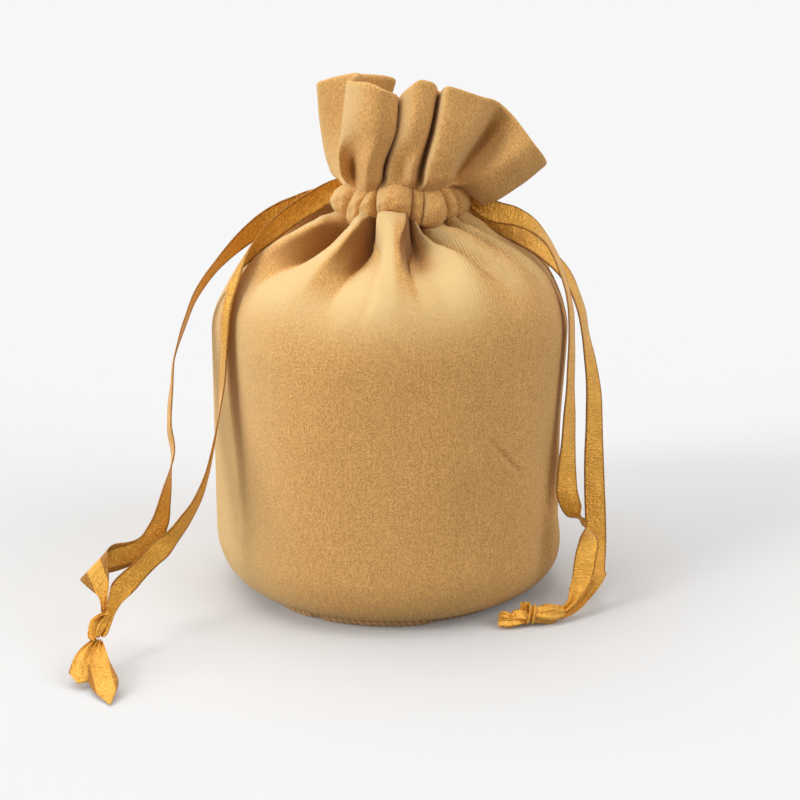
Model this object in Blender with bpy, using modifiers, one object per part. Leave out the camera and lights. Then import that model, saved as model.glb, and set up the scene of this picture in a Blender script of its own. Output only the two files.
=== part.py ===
"""Drawstring dice bag: velvet barrel with a round base, a gathered neck and two satin ribbons.

The bag stands on z = 0 with its axis on Z and its front towards -Y. The neck is two half rings that
slide together as the ribbons are drawn out sideways.
"""

import math

import bmesh
import bpy
from mathutils import Matrix, Vector

OBJECT_NAME = "drawstring_dice_bag"

# Bag body, in metres
BODY_RADIUS = 0.054
BASE_RADIUS = 0.0445
CORNER_HEIGHT = 0.018
SHOULDER_Z = 0.078
SHOULDER_RISE = 0.020
SHOULDER_REACH = 0.010
SHOULDER_DROP = 0.0105
NECK_Z = 0.1165
NECK_OFFSET_X = 0.003
CLOTH = 0.0012
CLEARANCE = 0.0003
SIDE_SEAM_GAP = 0.0004

# Base seam
ALLOWANCE_WIDTH = 0.0040
ALLOWANCE_HEIGHT = 0.0020
ALLOWANCE_OVERHANG = 0.0012
THREAD = 0.0005

# Gathered neck
STITCH_RADIUS = 0.0162
PUFF_BULGE = 0.0020
CASING_HEIGHT = 0.0084
PLEATS = 16
PLEAT_DEPTH = 0.0010
PLEAT_DEPTH_AT_STITCH = 0.0006
FACING_HOLLOW = 0.0008
FACING_LIP = 0.0008
SLIT_WIDTH = 0.0104

# Ruffled header
RUFFLE_CLOTH = 0.0020
RUFFLE_FOOT = 0.0016

# Ribbons
RIBBON_WIDTH = 0.0060
RIBBON_THICKNESS = 0.0003
RIBBON_STEP = 0.0050
RIBBON_PINCH = 0.6
RIBBON_PINCH_LENGTH = 0.010
STRAND_SPACING = 0.0012
LOOP_WIDTH = 0.0028
KNOT_SIZE = Vector((0.0056, 0.0042, 0.0046))
LEFT_KNOT = Vector((-0.0805, -0.0680, 0.0125))
RIGHT_KNOT = Vector((0.0405, -0.0490, 0.0049))

# Mesh resolution
PANEL_COLUMNS = 48
CORNER_ROWS = 4
WALL_ROWS = 2
SHOULDER_ROWS = 10
NECK_COLUMNS = 40
RUFFLE_COLUMNS = 42
CASING_ROWS = 5
RUFFLE_ROWS = 7
FACING_COLUMNS = 20
FACING_ROWS = 3
STITCH_COLUMNS = 24
LOOP_SEGMENTS = 40
RING_SEGMENTS = 48

# Heights that follow from the sizes above
ALLOWANCE_RADIUS = BASE_RADIUS + ALLOWANCE_OVERHANG
WALL_FOOT_Z = ALLOWANCE_HEIGHT + CLEARANCE
STITCH_GROOVE = THREAD + 2 * CLEARANCE
CASING_Z = NECK_Z + STITCH_GROOVE
CASING_TOP_Z = CASING_Z + CASING_HEIGHT
CHANNEL_Z = CASING_Z + CASING_HEIGHT / 2
RUFFLE_Z = CASING_TOP_Z + STITCH_GROOVE
FACING_RADIUS = STITCH_RADIUS - PLEAT_DEPTH_AT_STITCH - CLOTH - CLEARANCE
LOOP_RADIUS = FACING_RADIUS - FACING_HOLLOW + CLEARANCE + RIBBON_THICKNESS / 2
EXIT_RADIUS = LOOP_RADIUS + RIBBON_THICKNESS + 2 * CLEARANCE
LOOP_LIFT = (LOOP_WIDTH + CLEARANCE) / 2
BAG_CENTRE = Vector((0, 0, 0.060))

# Folds of the gathered shoulder: turn from the front towards +X in degrees, then 0 in a valley, 1 on a ridge
SHOULDER_FOLDS = (
    (-90, 0.0),
    (-62, 1.0),
    (-51, 0.0),
    (-30, 1.0),
    (-20, 0.0),
    (-4, 1.0),
    (10, 0.0),
    (28, 0.8),
    (40, 0.1),
    (54, 0.7),
    (66, 0.2),
    (76, 0.5),
    (90, 0.0),
    (113, 1.0),
    (125, 0.0),
    (137, 0.9),
    (148, 0.0),
    (159, 1.0),
    (169, 0.0),
    (180, 0.9),
    (191, 0.0),
    (203, 1.0),
    (214, 0.0),
    (226, 0.9),
    (237, 0.0),
    (249, 1.0),
    (270, 0.0),
)

# How far a ridge stands out, a valley sinks and the right side sags: share of the way up the shoulder, then
# millimetres outwards and upwards
RIDGE_LIFT = (
    (0.0, 0.0, 0.0),
    (0.3, 0.4, 0.3),
    (0.5, 0.8, 0.9),
    (0.7, 1.2, 2.2),
    (0.9, 1.4, 3.0),
    (1.0, 0.0, 0.0),
)
VALLEY_SINK = (
    (0.0, 0.0, 0.0),
    (0.4, -0.4, -0.5),
    (0.6, -0.9, -1.8),
    (0.8, -1.3, -3.6),
    (0.9, -1.8, -4.2),
    (1.0, 0.0, 0.0),
)
RIGHT_SAG = (
    (0.0, 0.0, 0.0),
    (0.2, -0.2, -0.1),
    (0.5, -1.6, -2.0),
    (0.8, -1.0, -2.6),
    (0.9, -0.5, -1.6),
    (1.0, 0.0, 0.0),
)

# Where the sag is deepest and how far it spreads, in degrees
SAG_TURN = 84
SAG_SPREAD = 26

# Columns of the ruffle in millimetres from the middle of its stitch row: a low, a middle and a hem point each
FRONT_RUFFLE = (
    ((-17.6, -5.6, 4.0), (-16.4, -5.6, 12.2), (-15.2, -5.6, 23.6)),
    ((-17.8, -12.3, 4.6), (-17.2, -11.8, 13.4), (-15.6, -10.7, 26.4)),
    ((-13.4, -10.4, 4.4), (-12.6, -17.2, 13.6), (-10.0, -17.8, 26.8)),
    ((-9.8, -19.3, 4.2), (-6.6, -21.0, 14.4), (-5.0, -19.5, 25.2)),
    ((-5.8, -16.7, 4.6), (-2.1, -18.0, 13.3), (-1.2, -16.5, 23.4)),
    ((-4.8, -11.8, 5.0), (-2.8, -11.8, 12.4), (-1.4, -11.8, 21.4)),
    ((-2.8, -17.3, 4.4), (-0.4, -17.6, 14.2), (1.4, -16.3, 25.2)),
    ((0.4, -15.0, 4.6), (3.2, -20.4, 14.6), (5.0, -17.6, 27.6)),
    ((3.2, -18.6, 4.2), (6.9, -18.8, 14.3), (8.8, -16.3, 26.8)),
    ((5.9, -12.0, 5.0), (8.4, -11.8, 13.0), (10.7, -11.2, 23.2)),
    ((8.0, -19.2, 4.2), (11.2, -19.6, 15.0), (13.4, -17.0, 25.8)),
    ((13.6, -18.4, 4.4), (18.1, -17.3, 12.8), (22.4, -12.4, 22.5)),
    ((17.4, -9.6, 3.0), (23.4, -7.8, 8.4), (30.0, -7.6, 17.5)),
    ((22.0, -11.0, -1.0), (30.3, -11.0, 4.5), (37.4, -9.4, 9.1)),
    ((26.5, -8.4, -7.0), (35.0, -8.4, -4.0), (42.2, -8.0, 0.9)),
)
BACK_RUFFLE = (
    ((22.5, 6.2, -3.0), (30.5, 6.2, -0.9), (38.0, 6.2, 2.5)),
    ((19.5, 8.6, -0.8), (27.0, 9.0, 1.4), (34.5, 9.4, 4.6)),
    ((18.0, 13.0, 3.4), (24.0, 15.5, 6.2), (30.5, 16.5, 8.2)),
    ((13.0, 11.0, 4.2), (17.5, 12.0, 9.8), (22.5, 13.0, 15.8)),
    ((10.2, 17.2, 4.2), (14.5, 20.5, 10.2), (19.0, 22.0, 15.8)),
    ((5.2, 13.0, 4.6), (7.5, 14.5, 11.2), (10.0, 16.5, 16.8)),
    ((2.0, 18.4, 4.2), (4.0, 22.5, 10.6), (5.6, 25.0, 15.8)),
    ((-4.5, 14.0, 4.6), (-3.5, 16.5, 11.6), (-2.0, 19.0, 17.2)),
    ((-10.2, 16.2, 4.4), (-10.5, 20.0, 12.0), (-10.0, 22.0, 19.8)),
    ((-10.2, 12.0, 5.0), (-6.5, 13.3, 14.4), (-3.4, 14.0, 24.0)),
    ((-16.6, 8.6, 4.4), (-17.2, 9.4, 14.3), (-16.8, 10.0, 25.4)),
    ((-21.2, 5.8, 2.8), (-24.0, 5.9, 11.4), (-24.9, 6.0, 22.0)),
)

# Ribbon routes in millimetres: x, y, z and the turn of the flat side in degrees. 0 faces away from the bag.
LEFT_FRONT_ROUTE = (
    (-15.6, -0.8, 121.4, 90),
    (-19.0, -1.3, 120.0, 88),
    (-22.6, -2.4, 118.0, 86),
    (-26.4, -4.2, 116.0, 84),
    (-30.6, -6.8, 113.4, 80),
    (-35.4, -10.8, 110.0, 68),
    (-40.0, -15.2, 105.8, 46),
    (-43.0, -18.8, 101.8, 24),
    (-45.2, -22.0, 97.6, 10),
    (-46.9, -24.8, 92.4, 6),
    (-47.8, -26.6, 86.4, 5),
    (-48.2, -27.7, 79.5, 8),
    (-48.6, -28.7, 72.9, 12),
    (-49.2, -30.2, 66.1, 18),
    (-50.1, -32.4, 59.3, 22),
    (-51.4, -36.0, 51.9, 30),
    (-53.2, -39.5, 44.6, 36),
    (-55.6, -43.0, 38.9, 44),
    (-59.1, -46.5, 33.8, 58),
    (-62.9, -50.0, 29.6, 68),
    (-67.3, -54.0, 26.3, 80),
    (-71.3, -57.5, 22.9, 84),
    (-74.8, -61.5, 19.3, 86),
)
LEFT_BACK_ROUTE = (
    (-15.6, 0.8, 121.4, 90),
    (-19.0, 1.2, 120.0, 90),
    (-22.8, 1.8, 118.0, 88),
    (-27.1, 2.2, 116.0, 85),
    (-32.2, 1.8, 114.0, 83),
    (-36.6, 1.0, 111.6, 78),
    (-42.0, -0.5, 107.9, 59),
    (-47.6, -2.5, 103.2, 38),
    (-51.4, -5.0, 99.5, 30),
    (-55.1, -8.0, 95.2, 25),
    (-58.1, -11.0, 90.5, 22),
    (-60.1, -14.0, 85.5, 20),
    (-62.0, -17.5, 80.0, 17),
    (-63.4, -21.0, 74.6, 14),
    (-63.8, -25.5, 68.4, 8),
    (-64.2, -29.0, 61.8, 6),
    (-64.1, -32.0, 57.6, 5),
    (-62.8, -36.0, 51.3, 9),
    (-63.6, -40.0, 44.8, 24),
    (-64.6, -43.5, 39.4, 44),
    (-65.8, -47.0, 34.0, 65),
    (-68.0, -50.0, 29.9, 78),
    (-72.2, -53.0, 27.7, 82),
    (-77.0, -56.0, 26.3, 95),
    (-82.5, -59.0, 25.3, 180),
    (-82.9, -62.0, 22.7, 250),
    (-81.8, -64.6, 19.0, 258),
)
RIGHT_FRONT_ROUTE = (
    (20.4, -0.7, 121.5, 90),
    (23.2, -1.2, 119.4, 88),
    (26.6, -1.8, 116.8, 84),
    (31.0, -2.6, 114.8, 72),
    (35.9, -3.4, 113.8, 54),
    (40.9, -4.6, 111.6, 29),
    (45.4, -6.2, 107.6, 6),
    (48.4, -8.4, 102.8, -2),
    (50.5, -11.0, 97.4, -4),
    (52.5, -14.0, 89.6, -4),
    (53.0, -16.5, 79.6, -1),
    (52.8, -18.5, 69.4, 4),
    (52.6, -20.0, 59.0, 13),
    (52.3, -21.5, 48.8, 25),
    (52.0, -23.0, 40.1, 45),
    (52.3, -24.5, 33.9, 72),
    (54.2, -25.5, 29.2, 96),
    (57.6, -27.0, 25.8, 160),
    (58.5, -29.2, 22.1, 235),
    (57.3, -32.6, 17.3, 262),
    (55.8, -36.4, 12.8, 262),
    (52.8, -41.0, 9.1, 258),
    (48.8, -45.4, 6.9, 256),
)
RIGHT_BACK_ROUTE = (
    (20.4, 0.7, 121.5, 90),
    (23.2, 1.1, 119.0, 90),
    (26.2, 1.6, 115.4, 90),
    (29.8, 2.0, 112.2, 84),
    (34.2, 2.2, 109.2, 64),
    (39.0, 2.0, 106.4, 51),
    (43.6, 1.4, 103.4, 40),
    (47.6, 0.4, 100.2, 33),
    (50.6, -0.8, 97.4, 29),
    (53.0, -2.0, 94.2, 25),
    (55.0, -3.0, 90.2, 19),
    (56.8, -4.0, 85.2, 16),
    (58.0, -5.4, 78.6, 15),
    (59.5, -6.8, 70.6, 26),
    (60.7, -8.4, 61.7, 40),
    (61.0, -9.6, 52.6, 46),
    (61.1, -11.0, 42.6, 60),
    (61.4, -12.8, 32.1, 74),
    (61.8, -15.0, 22.6, 80),
    (61.8, -18.5, 14.9, 86),
    (61.2, -23.0, 10.2, 90),
    (58.9, -28.6, 6.9, 90),
    (55.2, -35.4, 4.6, 90),
    (50.8, -41.6, 3.8, 90),
)
LEFT_FRONT_TAIL = ((-78.6, -80.0, 7.2, 60), (-76.8, -88.5, 3.6, 58), (-75.6, -95.0, 1.2, 56))
LEFT_BACK_TAIL = ((-84.2, -78.0, 7.4, 70), (-85.8, -85.0, 4.2, 72), (-86.4, -91.0, 1.4, 74))
RIGHT_FRONT_TAIL = ((33.0, -52.6, 3.7, 82), (29.6, -53.6, 3.6, 84))
RIGHT_BACK_TAIL = ((35.6, -44.4, 5.0, 80), (33.0, -42.2, 4.6, 80))
MM = 0.001


def clear_scene():
    for obj in list(bpy.data.objects):
        bpy.data.objects.remove(obj, do_unlink=True)


def make_material(name, colour, roughness, metallic=0.0):
    material = bpy.data.materials.new(name)
    material.use_nodes = True
    shader = material.node_tree.nodes["Principled BSDF"]
    shader.inputs["Base Color"].default_value = (*colour, 1)
    shader.inputs["Roughness"].default_value = roughness
    shader.inputs["Metallic"].default_value = metallic
    return material


def empty_at(name, place, collection):
    empty = bpy.data.objects.new(name, None)
    empty.location = place
    collection.objects.link(empty)
    return empty


def add_object(name, mesh, material, kit, parent):
    """Links a mesh made in world coordinates under an empty without moving it."""
    mesh.materials.append(material)
    mesh.shade_smooth()
    obj = bpy.data.objects.new(name, mesh)
    kit.objects.link(obj)
    obj.parent = parent
    obj.matrix_parent_inverse = Matrix.Translation(-parent.location)
    return obj


def mapped_grid(name, columns, rows, surface):
    """A grid primitive whose corners (0, 0) to (1, 1) are carried onto a surface function."""
    bm = bmesh.new()
    bmesh.ops.create_grid(bm, x_segments=columns, y_segments=rows, size=0.5)
    for vertex in bm.verts:
        vertex.co = surface(vertex.co.x + 0.5, vertex.co.y + 0.5)
    mesh = bpy.data.meshes.new(name)
    bm.to_mesh(mesh)
    bm.free()
    return mesh


def thicken(obj, thickness, offset):
    solidify = obj.modifiers.new("Cloth", "SOLIDIFY")
    solidify.thickness = thickness
    solidify.offset = offset


def cubic(ends, t):
    """A point of a cubic curve with four control points."""
    weights = ((1 - t) ** 3, 3 * t * (1 - t) ** 2, 3 * t * t * (1 - t), t**3)
    return sum((Vector(p) * w for p, w in zip(ends, weights)), Vector((0, 0)))


def smooth(t):
    t = min(max(t, 0.0), 1.0)
    return t * t * (3 - 2 * t)


def wall_profile(v):
    """Radius, height and share of the shoulder's rise: rounded foot, straight wall, then the shoulder."""
    rows = CORNER_ROWS + WALL_ROWS + SHOULDER_ROWS
    step = v * rows
    if step <= CORNER_ROWS:
        angle = math.pi / 2 * step / CORNER_ROWS
        radius = BASE_RADIUS + (BODY_RADIUS - BASE_RADIUS) * math.sin(angle)
        return radius, CORNER_HEIGHT - (CORNER_HEIGHT - WALL_FOOT_Z) * math.cos(angle), 0.0
    if step <= CORNER_ROWS + WALL_ROWS:
        share = (step - CORNER_ROWS) / WALL_ROWS
        return BODY_RADIUS, CORNER_HEIGHT + (SHOULDER_Z - CORNER_HEIGHT) * share, 0.0
    t = (step - CORNER_ROWS - WALL_ROWS) / SHOULDER_ROWS
    controls = (
        (BODY_RADIUS, SHOULDER_Z),
        (BODY_RADIUS, SHOULDER_Z + SHOULDER_RISE),
        (BODY_RADIUS - SHOULDER_REACH, NECK_Z - SHOULDER_DROP),
        (STITCH_RADIUS, NECK_Z),
    )
    point = cubic(controls, t)
    return point.x, point.y, t


def pleat_wave(angle):
    """1 on a pleat's ridge and -1 in its valley. The ribbon slits at both sides lie in valleys."""
    return -math.cos(PLEATS * angle)


def between(rows, place):
    """The two rows of a table on either side of a place, and the share of the way between them."""
    for low, high in zip(rows, rows[1:]):
        if place <= high[0]:
            break
    return low, high, (place - low[0]) / (high[0] - low[0])


def fold_height(turn):
    """Height of the shoulder's folds at a turn from the front: 0 in a valley and 1 on a ridge."""
    low, high, way = between(SHOULDER_FOLDS, turn)
    return low[1] + (high[1] - low[1]) * smooth(way)


def push_out(rows, share):
    """How far a table of the shoulder pushes the wall outwards and upwards, in metres."""
    low, high, way = between(rows, share)
    return Vector(low[1:]).lerp(Vector(high[1:]), way) * MM


def wall_point(v, angle):
    """Radius and height of the wall's outer face, with the folds of the gathered shoulder."""
    radius, z, share = wall_profile(v)
    turn = (math.degrees(angle) + 180) % 360 - 90
    height = fold_height(turn)
    sag = math.exp(-(((turn - SAG_TURN) / SAG_SPREAD) ** 2))
    point = Vector((radius + PLEAT_DEPTH_AT_STITCH * share * pleat_wave(angle), z))
    point += push_out(RIDGE_LIFT, share) * height + push_out(VALLEY_SINK, share) * (1 - height)
    return point + push_out(RIGHT_SAG, share) * sag


def neck_axis(z):
    """The neck stands a little to the right of the body's axis."""
    return NECK_OFFSET_X * smooth((z - SHOULDER_Z) / (NECK_Z - SHOULDER_Z))


def half_turn(u, radius, margin, back):
    """Angle about Z at share u of a half ring that stops short of the side plane by a margin."""
    stop = math.asin(min(margin / radius, 1.0))
    start = 0.0 if back else math.pi
    return start + stop + u * (math.pi - 2 * stop)


def panel_surface(back):
    def surface(u, v):
        angle = half_turn(u, wall_profile(v)[0], SIDE_SEAM_GAP / 2, back)
        radius, z = wall_point(v, angle)
        return Vector((neck_axis(z) + radius * math.cos(angle), radius * math.sin(angle), z))

    return surface


def casing_radius(share, angle):
    """Outer radius of the gathered channel, drawn in at both stitch rows and puffed between them."""
    puff = math.sin(math.pi * share)
    depth = PLEAT_DEPTH_AT_STITCH + PLEAT_DEPTH * puff
    return STITCH_RADIUS + PUFF_BULGE * puff + depth * pleat_wave(angle)


def casing_surface(back):
    def surface(u, v):
        plain = STITCH_RADIUS + PUFF_BULGE * math.sin(math.pi * v)
        angle = half_turn(u, plain, SLIT_WIDTH / 2, back)
        radius = casing_radius(v, angle)
        z = CASING_Z + CASING_HEIGHT * v
        return Vector((NECK_OFFSET_X + radius * math.cos(angle), radius * math.sin(angle), z))

    return surface


def facing_surface(back):
    """The inner ply: a lip at each stitch row, and a hollow between them where the ribbons run."""
    rise = (0.0, FACING_LIP, CASING_HEIGHT - FACING_LIP, CASING_HEIGHT)
    hollow = (0.0, FACING_HOLLOW, FACING_HOLLOW, 0.0)

    def surface(u, v):
        row = round(v * FACING_ROWS)
        radius = FACING_RADIUS - hollow[row]
        angle = half_turn(u, radius, SLIT_WIDTH / 2, back)
        z = CASING_Z + rise[row]
        return Vector((NECK_OFFSET_X + radius * math.cos(angle), radius * math.sin(angle), z))

    return surface


def curve_step(points, t):
    """A place between the second and third of four vectors, on a curve that passes through both."""
    a, b, c, d = points
    bend = (2 * a - 5 * b + 4 * c - d) * t * t + (3 * b - 3 * c + d - a) * t**3
    return b + ((c - a) * t + bend) / 2


def curve_at(points, share):
    """The place at a share of the way along a smooth curve through the given vectors."""
    ends = [2 * points[0] - points[1], *points, 2 * points[-1] - points[-2]]
    step = share * (len(points) - 1)
    i = min(int(step), len(points) - 2)
    return curve_step(ends[i : i + 4], step - i)


def ruffle_surface(columns, back):
    """The header: upright at its stitch row, then through the low, middle and hem point of each column."""
    centre = Vector((NECK_OFFSET_X, 0, RUFFLE_Z))
    lines = [[Vector(column[row]) * MM for column in columns] for row in range(3)]

    def surface(u, v):
        angle = half_turn(u, STITCH_RADIUS, SLIT_WIDTH / 2 + CLEARANCE, back)
        reach = STITCH_RADIUS + PLEAT_DEPTH_AT_STITCH * pleat_wave(angle)
        step = v * RUFFLE_ROWS
        foot = Vector((reach * math.cos(angle), reach * math.sin(angle), RUFFLE_FOOT * min(step, 1)))
        rise = max(step - 1, 0) / (RUFFLE_ROWS - 1)
        return centre + curve_at([foot, *(curve_at(line, u) for line in lines)], rise)

    return surface


def make_shell(name, columns, rows, surface, thickness, material, kit, parent):
    """An open cloth surface with its thickness added on the inner side."""
    obj = add_object(name, mapped_grid(name, columns, rows, surface), material, kit, parent)
    thicken(obj, thickness, -1.0)
    return obj


def make_thread(name, points, closed, material, kit, parent):
    """A seam thread: a thin tube along a line of points."""
    curve = bpy.data.curves.new(name, "CURVE")
    curve.dimensions = "3D"
    curve.bevel_depth = THREAD / 2
    curve.bevel_resolution = 1
    curve.use_fill_caps = not closed
    spline = curve.splines.new("POLY")
    spline.points.add(len(points) - 1)
    for knot, point in zip(spline.points, points):
        knot.co = (*point, 1)
    spline.use_cyclic_u = closed
    curve.materials.append(material)
    obj = bpy.data.objects.new(name, curve)
    kit.objects.link(obj)
    obj.parent = parent
    obj.matrix_parent_inverse = Matrix.Translation(-parent.location)
    return obj


def stitch_row(z, back):
    """A channel stitch row: half a ring along the drawn-in line, pleats and all."""
    points = []
    radius = STITCH_RADIUS - CLOTH / 2
    for step in range(STITCH_COLUMNS + 1):
        angle = half_turn(step / STITCH_COLUMNS, radius, SLIT_WIDTH / 2, back)
        reach = radius + PLEAT_DEPTH_AT_STITCH * pleat_wave(angle)
        points.append(Vector((NECK_OFFSET_X + reach * math.cos(angle), reach * math.sin(angle), z)))
    return points


def side_seam(right):
    """The inside of a side seam from the foot to the neck, one thread away from the wall."""
    rows = CORNER_ROWS + WALL_ROWS + SHOULDER_ROWS
    angle = 0.0 if right else math.pi
    line = [wall_point(row / rows, angle) for row in range(rows + 1)]
    inset = CLOTH + CLEARANCE + THREAD / 2
    points = []
    for before, here, after in zip(line, line[1:], line[2:]):
        along = (after - before).normalized()
        radius = here.x - along.y * inset
        z = here.y + along.x * inset
        points.append(Vector((neck_axis(here.y) + radius * math.cos(angle), 0, z)))
    return points


def turned_ring(name, outline, material, kit, parent):
    """A closed outline of radius and height turned once about Z."""
    mesh = bpy.data.meshes.new(name)
    points = [(radius, 0, z) for radius, z in outline]
    edges = [(i, (i + 1) % len(points)) for i in range(len(points))]
    mesh.from_pydata(points, edges, [])
    obj = add_object(name, mesh, material, kit, parent)
    screw = obj.modifiers.new("Turn", "SCREW")
    screw.steps = RING_SEGMENTS
    screw.render_steps = RING_SEGMENTS
    screw.use_merge_vertices = True
    screw.merge_threshold = 0.00001
    return obj


def make_base(velvet, strip, thread, kit, bag):
    inner = ALLOWANCE_RADIUS - ALLOWANCE_WIDTH
    soft = ALLOWANCE_HEIGHT / 4
    outline = (
        (inner, ALLOWANCE_HEIGHT),
        (ALLOWANCE_RADIUS - soft, ALLOWANCE_HEIGHT),
        (ALLOWANCE_RADIUS, ALLOWANCE_HEIGHT - soft),
        (ALLOWANCE_RADIUS, soft),
        (ALLOWANCE_RADIUS - soft, 0),
        (inner, 0),
    )
    turned_ring("base_seam_allowance", outline, strip, kit, bag)
    bm = bmesh.new()
    radius = inner - CLEARANCE
    bmesh.ops.create_cone(
        bm, cap_ends=True, segments=RING_SEGMENTS, radius1=radius, radius2=radius, depth=CLOTH
    )
    bmesh.ops.translate(bm, verts=bm.verts, vec=(0, 0, CLOTH / 2))
    mesh = bpy.data.meshes.new("base_panel")
    bm.to_mesh(mesh)
    bm.free()
    add_object("base_panel", mesh, velvet, kit, bag)
    seam_radius = BASE_RADIUS - CLEARANCE - THREAD / 2
    seam_z = WALL_FOOT_Z + THREAD / 2
    turns = [2 * math.pi * step / RING_SEGMENTS for step in range(RING_SEGMENTS)]
    ring = [Vector((seam_radius * math.cos(a), seam_radius * math.sin(a), seam_z)) for a in turns]
    make_thread("base_stitching", ring, True, thread, kit, bag)


def make_body(velvet, thread, kit, bag):
    rows = CORNER_ROWS + WALL_ROWS + SHOULDER_ROWS
    for name, back in (("front_panel", False), ("back_panel", True)):
        make_shell(name, PANEL_COLUMNS, rows, panel_surface(back), CLOTH, velvet, kit, bag)
    make_thread("left_side_stitching", side_seam(False), False, thread, kit, bag)
    make_thread("right_side_stitching", side_seam(True), False, thread, kit, bag)


def make_neck_half(side, back, velvet, thread, kit, neck):
    casing, facing = casing_surface(back), facing_surface(back)
    ruffle = ruffle_surface(BACK_RUFFLE if back else FRONT_RUFFLE, back)
    make_shell(side + "_casing", NECK_COLUMNS, CASING_ROWS, casing, CLOTH, velvet, kit, neck)
    make_shell(side + "_facing", FACING_COLUMNS, FACING_ROWS, facing, CLOTH, velvet, kit, neck)
    make_shell(side + "_ruffle", RUFFLE_COLUMNS, RUFFLE_ROWS, ruffle, RUFFLE_CLOTH, velvet, kit, neck)
    lower = stitch_row(NECK_Z + STITCH_GROOVE / 2, back)
    upper = stitch_row(CASING_TOP_Z + STITCH_GROOVE / 2, back)
    make_thread(side + "_lower_stitching", lower, False, thread, kit, neck)
    make_thread(side + "_upper_stitching", upper, False, thread, kit, neck)


def spline_through(points, step):
    """Points at about equal steps on a smooth curve through the given vectors, ends included."""
    ends = [2 * points[0] - points[1], *points, 2 * points[-1] - points[-2]]
    line = []
    for i in range(len(points) - 1):
        count = max(1, round((points[i + 1] - points[i]).xyz.length / step))
        line += [curve_step(ends[i : i + 4], k / count) for k in range(count)]
    line.append(points[-1])
    return line


def flat_side(point, along, turn):
    """Direction across a ribbon: level with the bag's skin at turn 0, then turned about its run."""
    away = (point - BAG_CENTRE).normalized()
    across = along.cross(away).normalized()
    return Matrix.Rotation(turn, 3, along) @ across


def make_ribbon(name, route, pinch_start, pinch_end, material, kit, parent):
    """A flat satin strip along a route of (x, y, z, turn) vectors, narrowed where a knot holds it."""
    line = spline_through(route, RIBBON_STEP)
    last = len(line) - 1
    places = [p.xyz for p in line]
    far = [0.0]
    for a, b in zip(places, places[1:]):
        far.append(far[-1] + (b - a).length)

    def surface(u, v):
        i = round(u * last)
        along = (places[min(i + 1, last)] - places[max(i - 1, 0)]).normalized()
        width = RIBBON_WIDTH
        near_start = smooth(far[i] / RIBBON_PINCH_LENGTH)
        near_end = smooth((far[last] - far[i]) / RIBBON_PINCH_LENGTH)
        if pinch_start:
            width *= RIBBON_PINCH + (1 - RIBBON_PINCH) * near_start
        if pinch_end:
            width *= RIBBON_PINCH + (1 - RIBBON_PINCH) * near_end
        return places[i] + flat_side(places[i], along, line[i].w) * width * (v - 0.5)

    obj = add_object(name, mapped_grid(name, last, 1, surface), material, kit, parent)
    thicken(obj, RIBBON_THICKNESS, 0.0)
    return obj


def make_loop(name, side, lift, material, kit, bag):
    """A ribbon folded double round the inside of the channel, its two ends turned out at one slit."""
    start = 0.0 if side > 0 else math.pi
    slit = math.asin(SLIT_WIDTH / 2 / LOOP_RADIUS)
    half = STRAND_SPACING / 2
    end = side * (EXIT_RADIUS - CLEARANCE - RIBBON_THICKNESS)
    line = [Vector((end, half, 0))]
    for step in range(LOOP_SEGMENTS + 1):
        angle = start + slit + (2 * math.pi - 2 * slit) * step / LOOP_SEGMENTS
        y = math.sin(angle) * side
        line.append(Vector((LOOP_RADIUS * math.cos(angle), LOOP_RADIUS * y, 0)))
    line.append(Vector((end, -half, 0)))
    last = len(line) - 1
    centre = Vector((NECK_OFFSET_X, 0, CHANNEL_Z + lift))

    def surface(u, v):
        return centre + line[round(u * last)] + Vector((0, 0, LOOP_WIDTH * (v - 0.5)))

    obj = add_object(name, mapped_grid(name, last, 1, surface), material, kit, bag)
    thicken(obj, RIBBON_THICKNESS, 0.0)
    return obj


def make_knot(name, centre, material, kit, parent):
    bm = bmesh.new()
    bmesh.ops.create_uvsphere(bm, u_segments=16, v_segments=10, radius=1)
    bmesh.ops.scale(bm, verts=bm.verts, vec=KNOT_SIZE)
    bmesh.ops.translate(bm, verts=bm.verts, vec=centre)
    mesh = bpy.data.meshes.new(name)
    bm.to_mesh(mesh)
    bm.free()
    return add_object(name, mesh, material, kit, parent)


def knot_port(centre, towards, turn):
    """Where a ribbon enters a knot: just outside its skin, on the line towards the given point."""
    way = (towards - centre).normalized()
    scaled = Vector((way.x / KNOT_SIZE.x, way.y / KNOT_SIZE.y, way.z / KNOT_SIZE.z))
    point = centre + way * (1 / scaled.length + CLEARANCE + RIBBON_THICKNESS)
    return Vector((*point, turn))


def in_metres(route):
    return [Vector((x * MM, y * MM, z * MM, math.radians(turn))) for x, y, z, turn in route]


def strand_start(side, front):
    """Where a strand meets its loop's end, upright in the slit."""
    y = -STRAND_SPACING / 2 if front else STRAND_SPACING / 2
    upright = math.radians(90)
    return Vector((NECK_OFFSET_X + side * EXIT_RADIUS, y, CHANNEL_Z, upright))


def make_drawstring(side_name, side, knot, routes, tails, satin, kit, pull):
    make_knot(side_name + "_knot", knot, satin, kit, pull)
    for front, end in ((True, "_front"), (False, "_back")):
        route = in_metres(routes[end])
        route.insert(0, strand_start(side, front))
        route.append(knot_port(knot, route[-1].xyz, route[-1].w))
        make_ribbon(side_name + end + "_strand", route, False, True, satin, kit, pull)
        tail = in_metres(tails[end])
        tail.insert(0, knot_port(knot, tail[0].xyz, tail[0].w))
        make_ribbon(side_name + end + "_tail", tail, True, False, satin, kit, pull)


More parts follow.
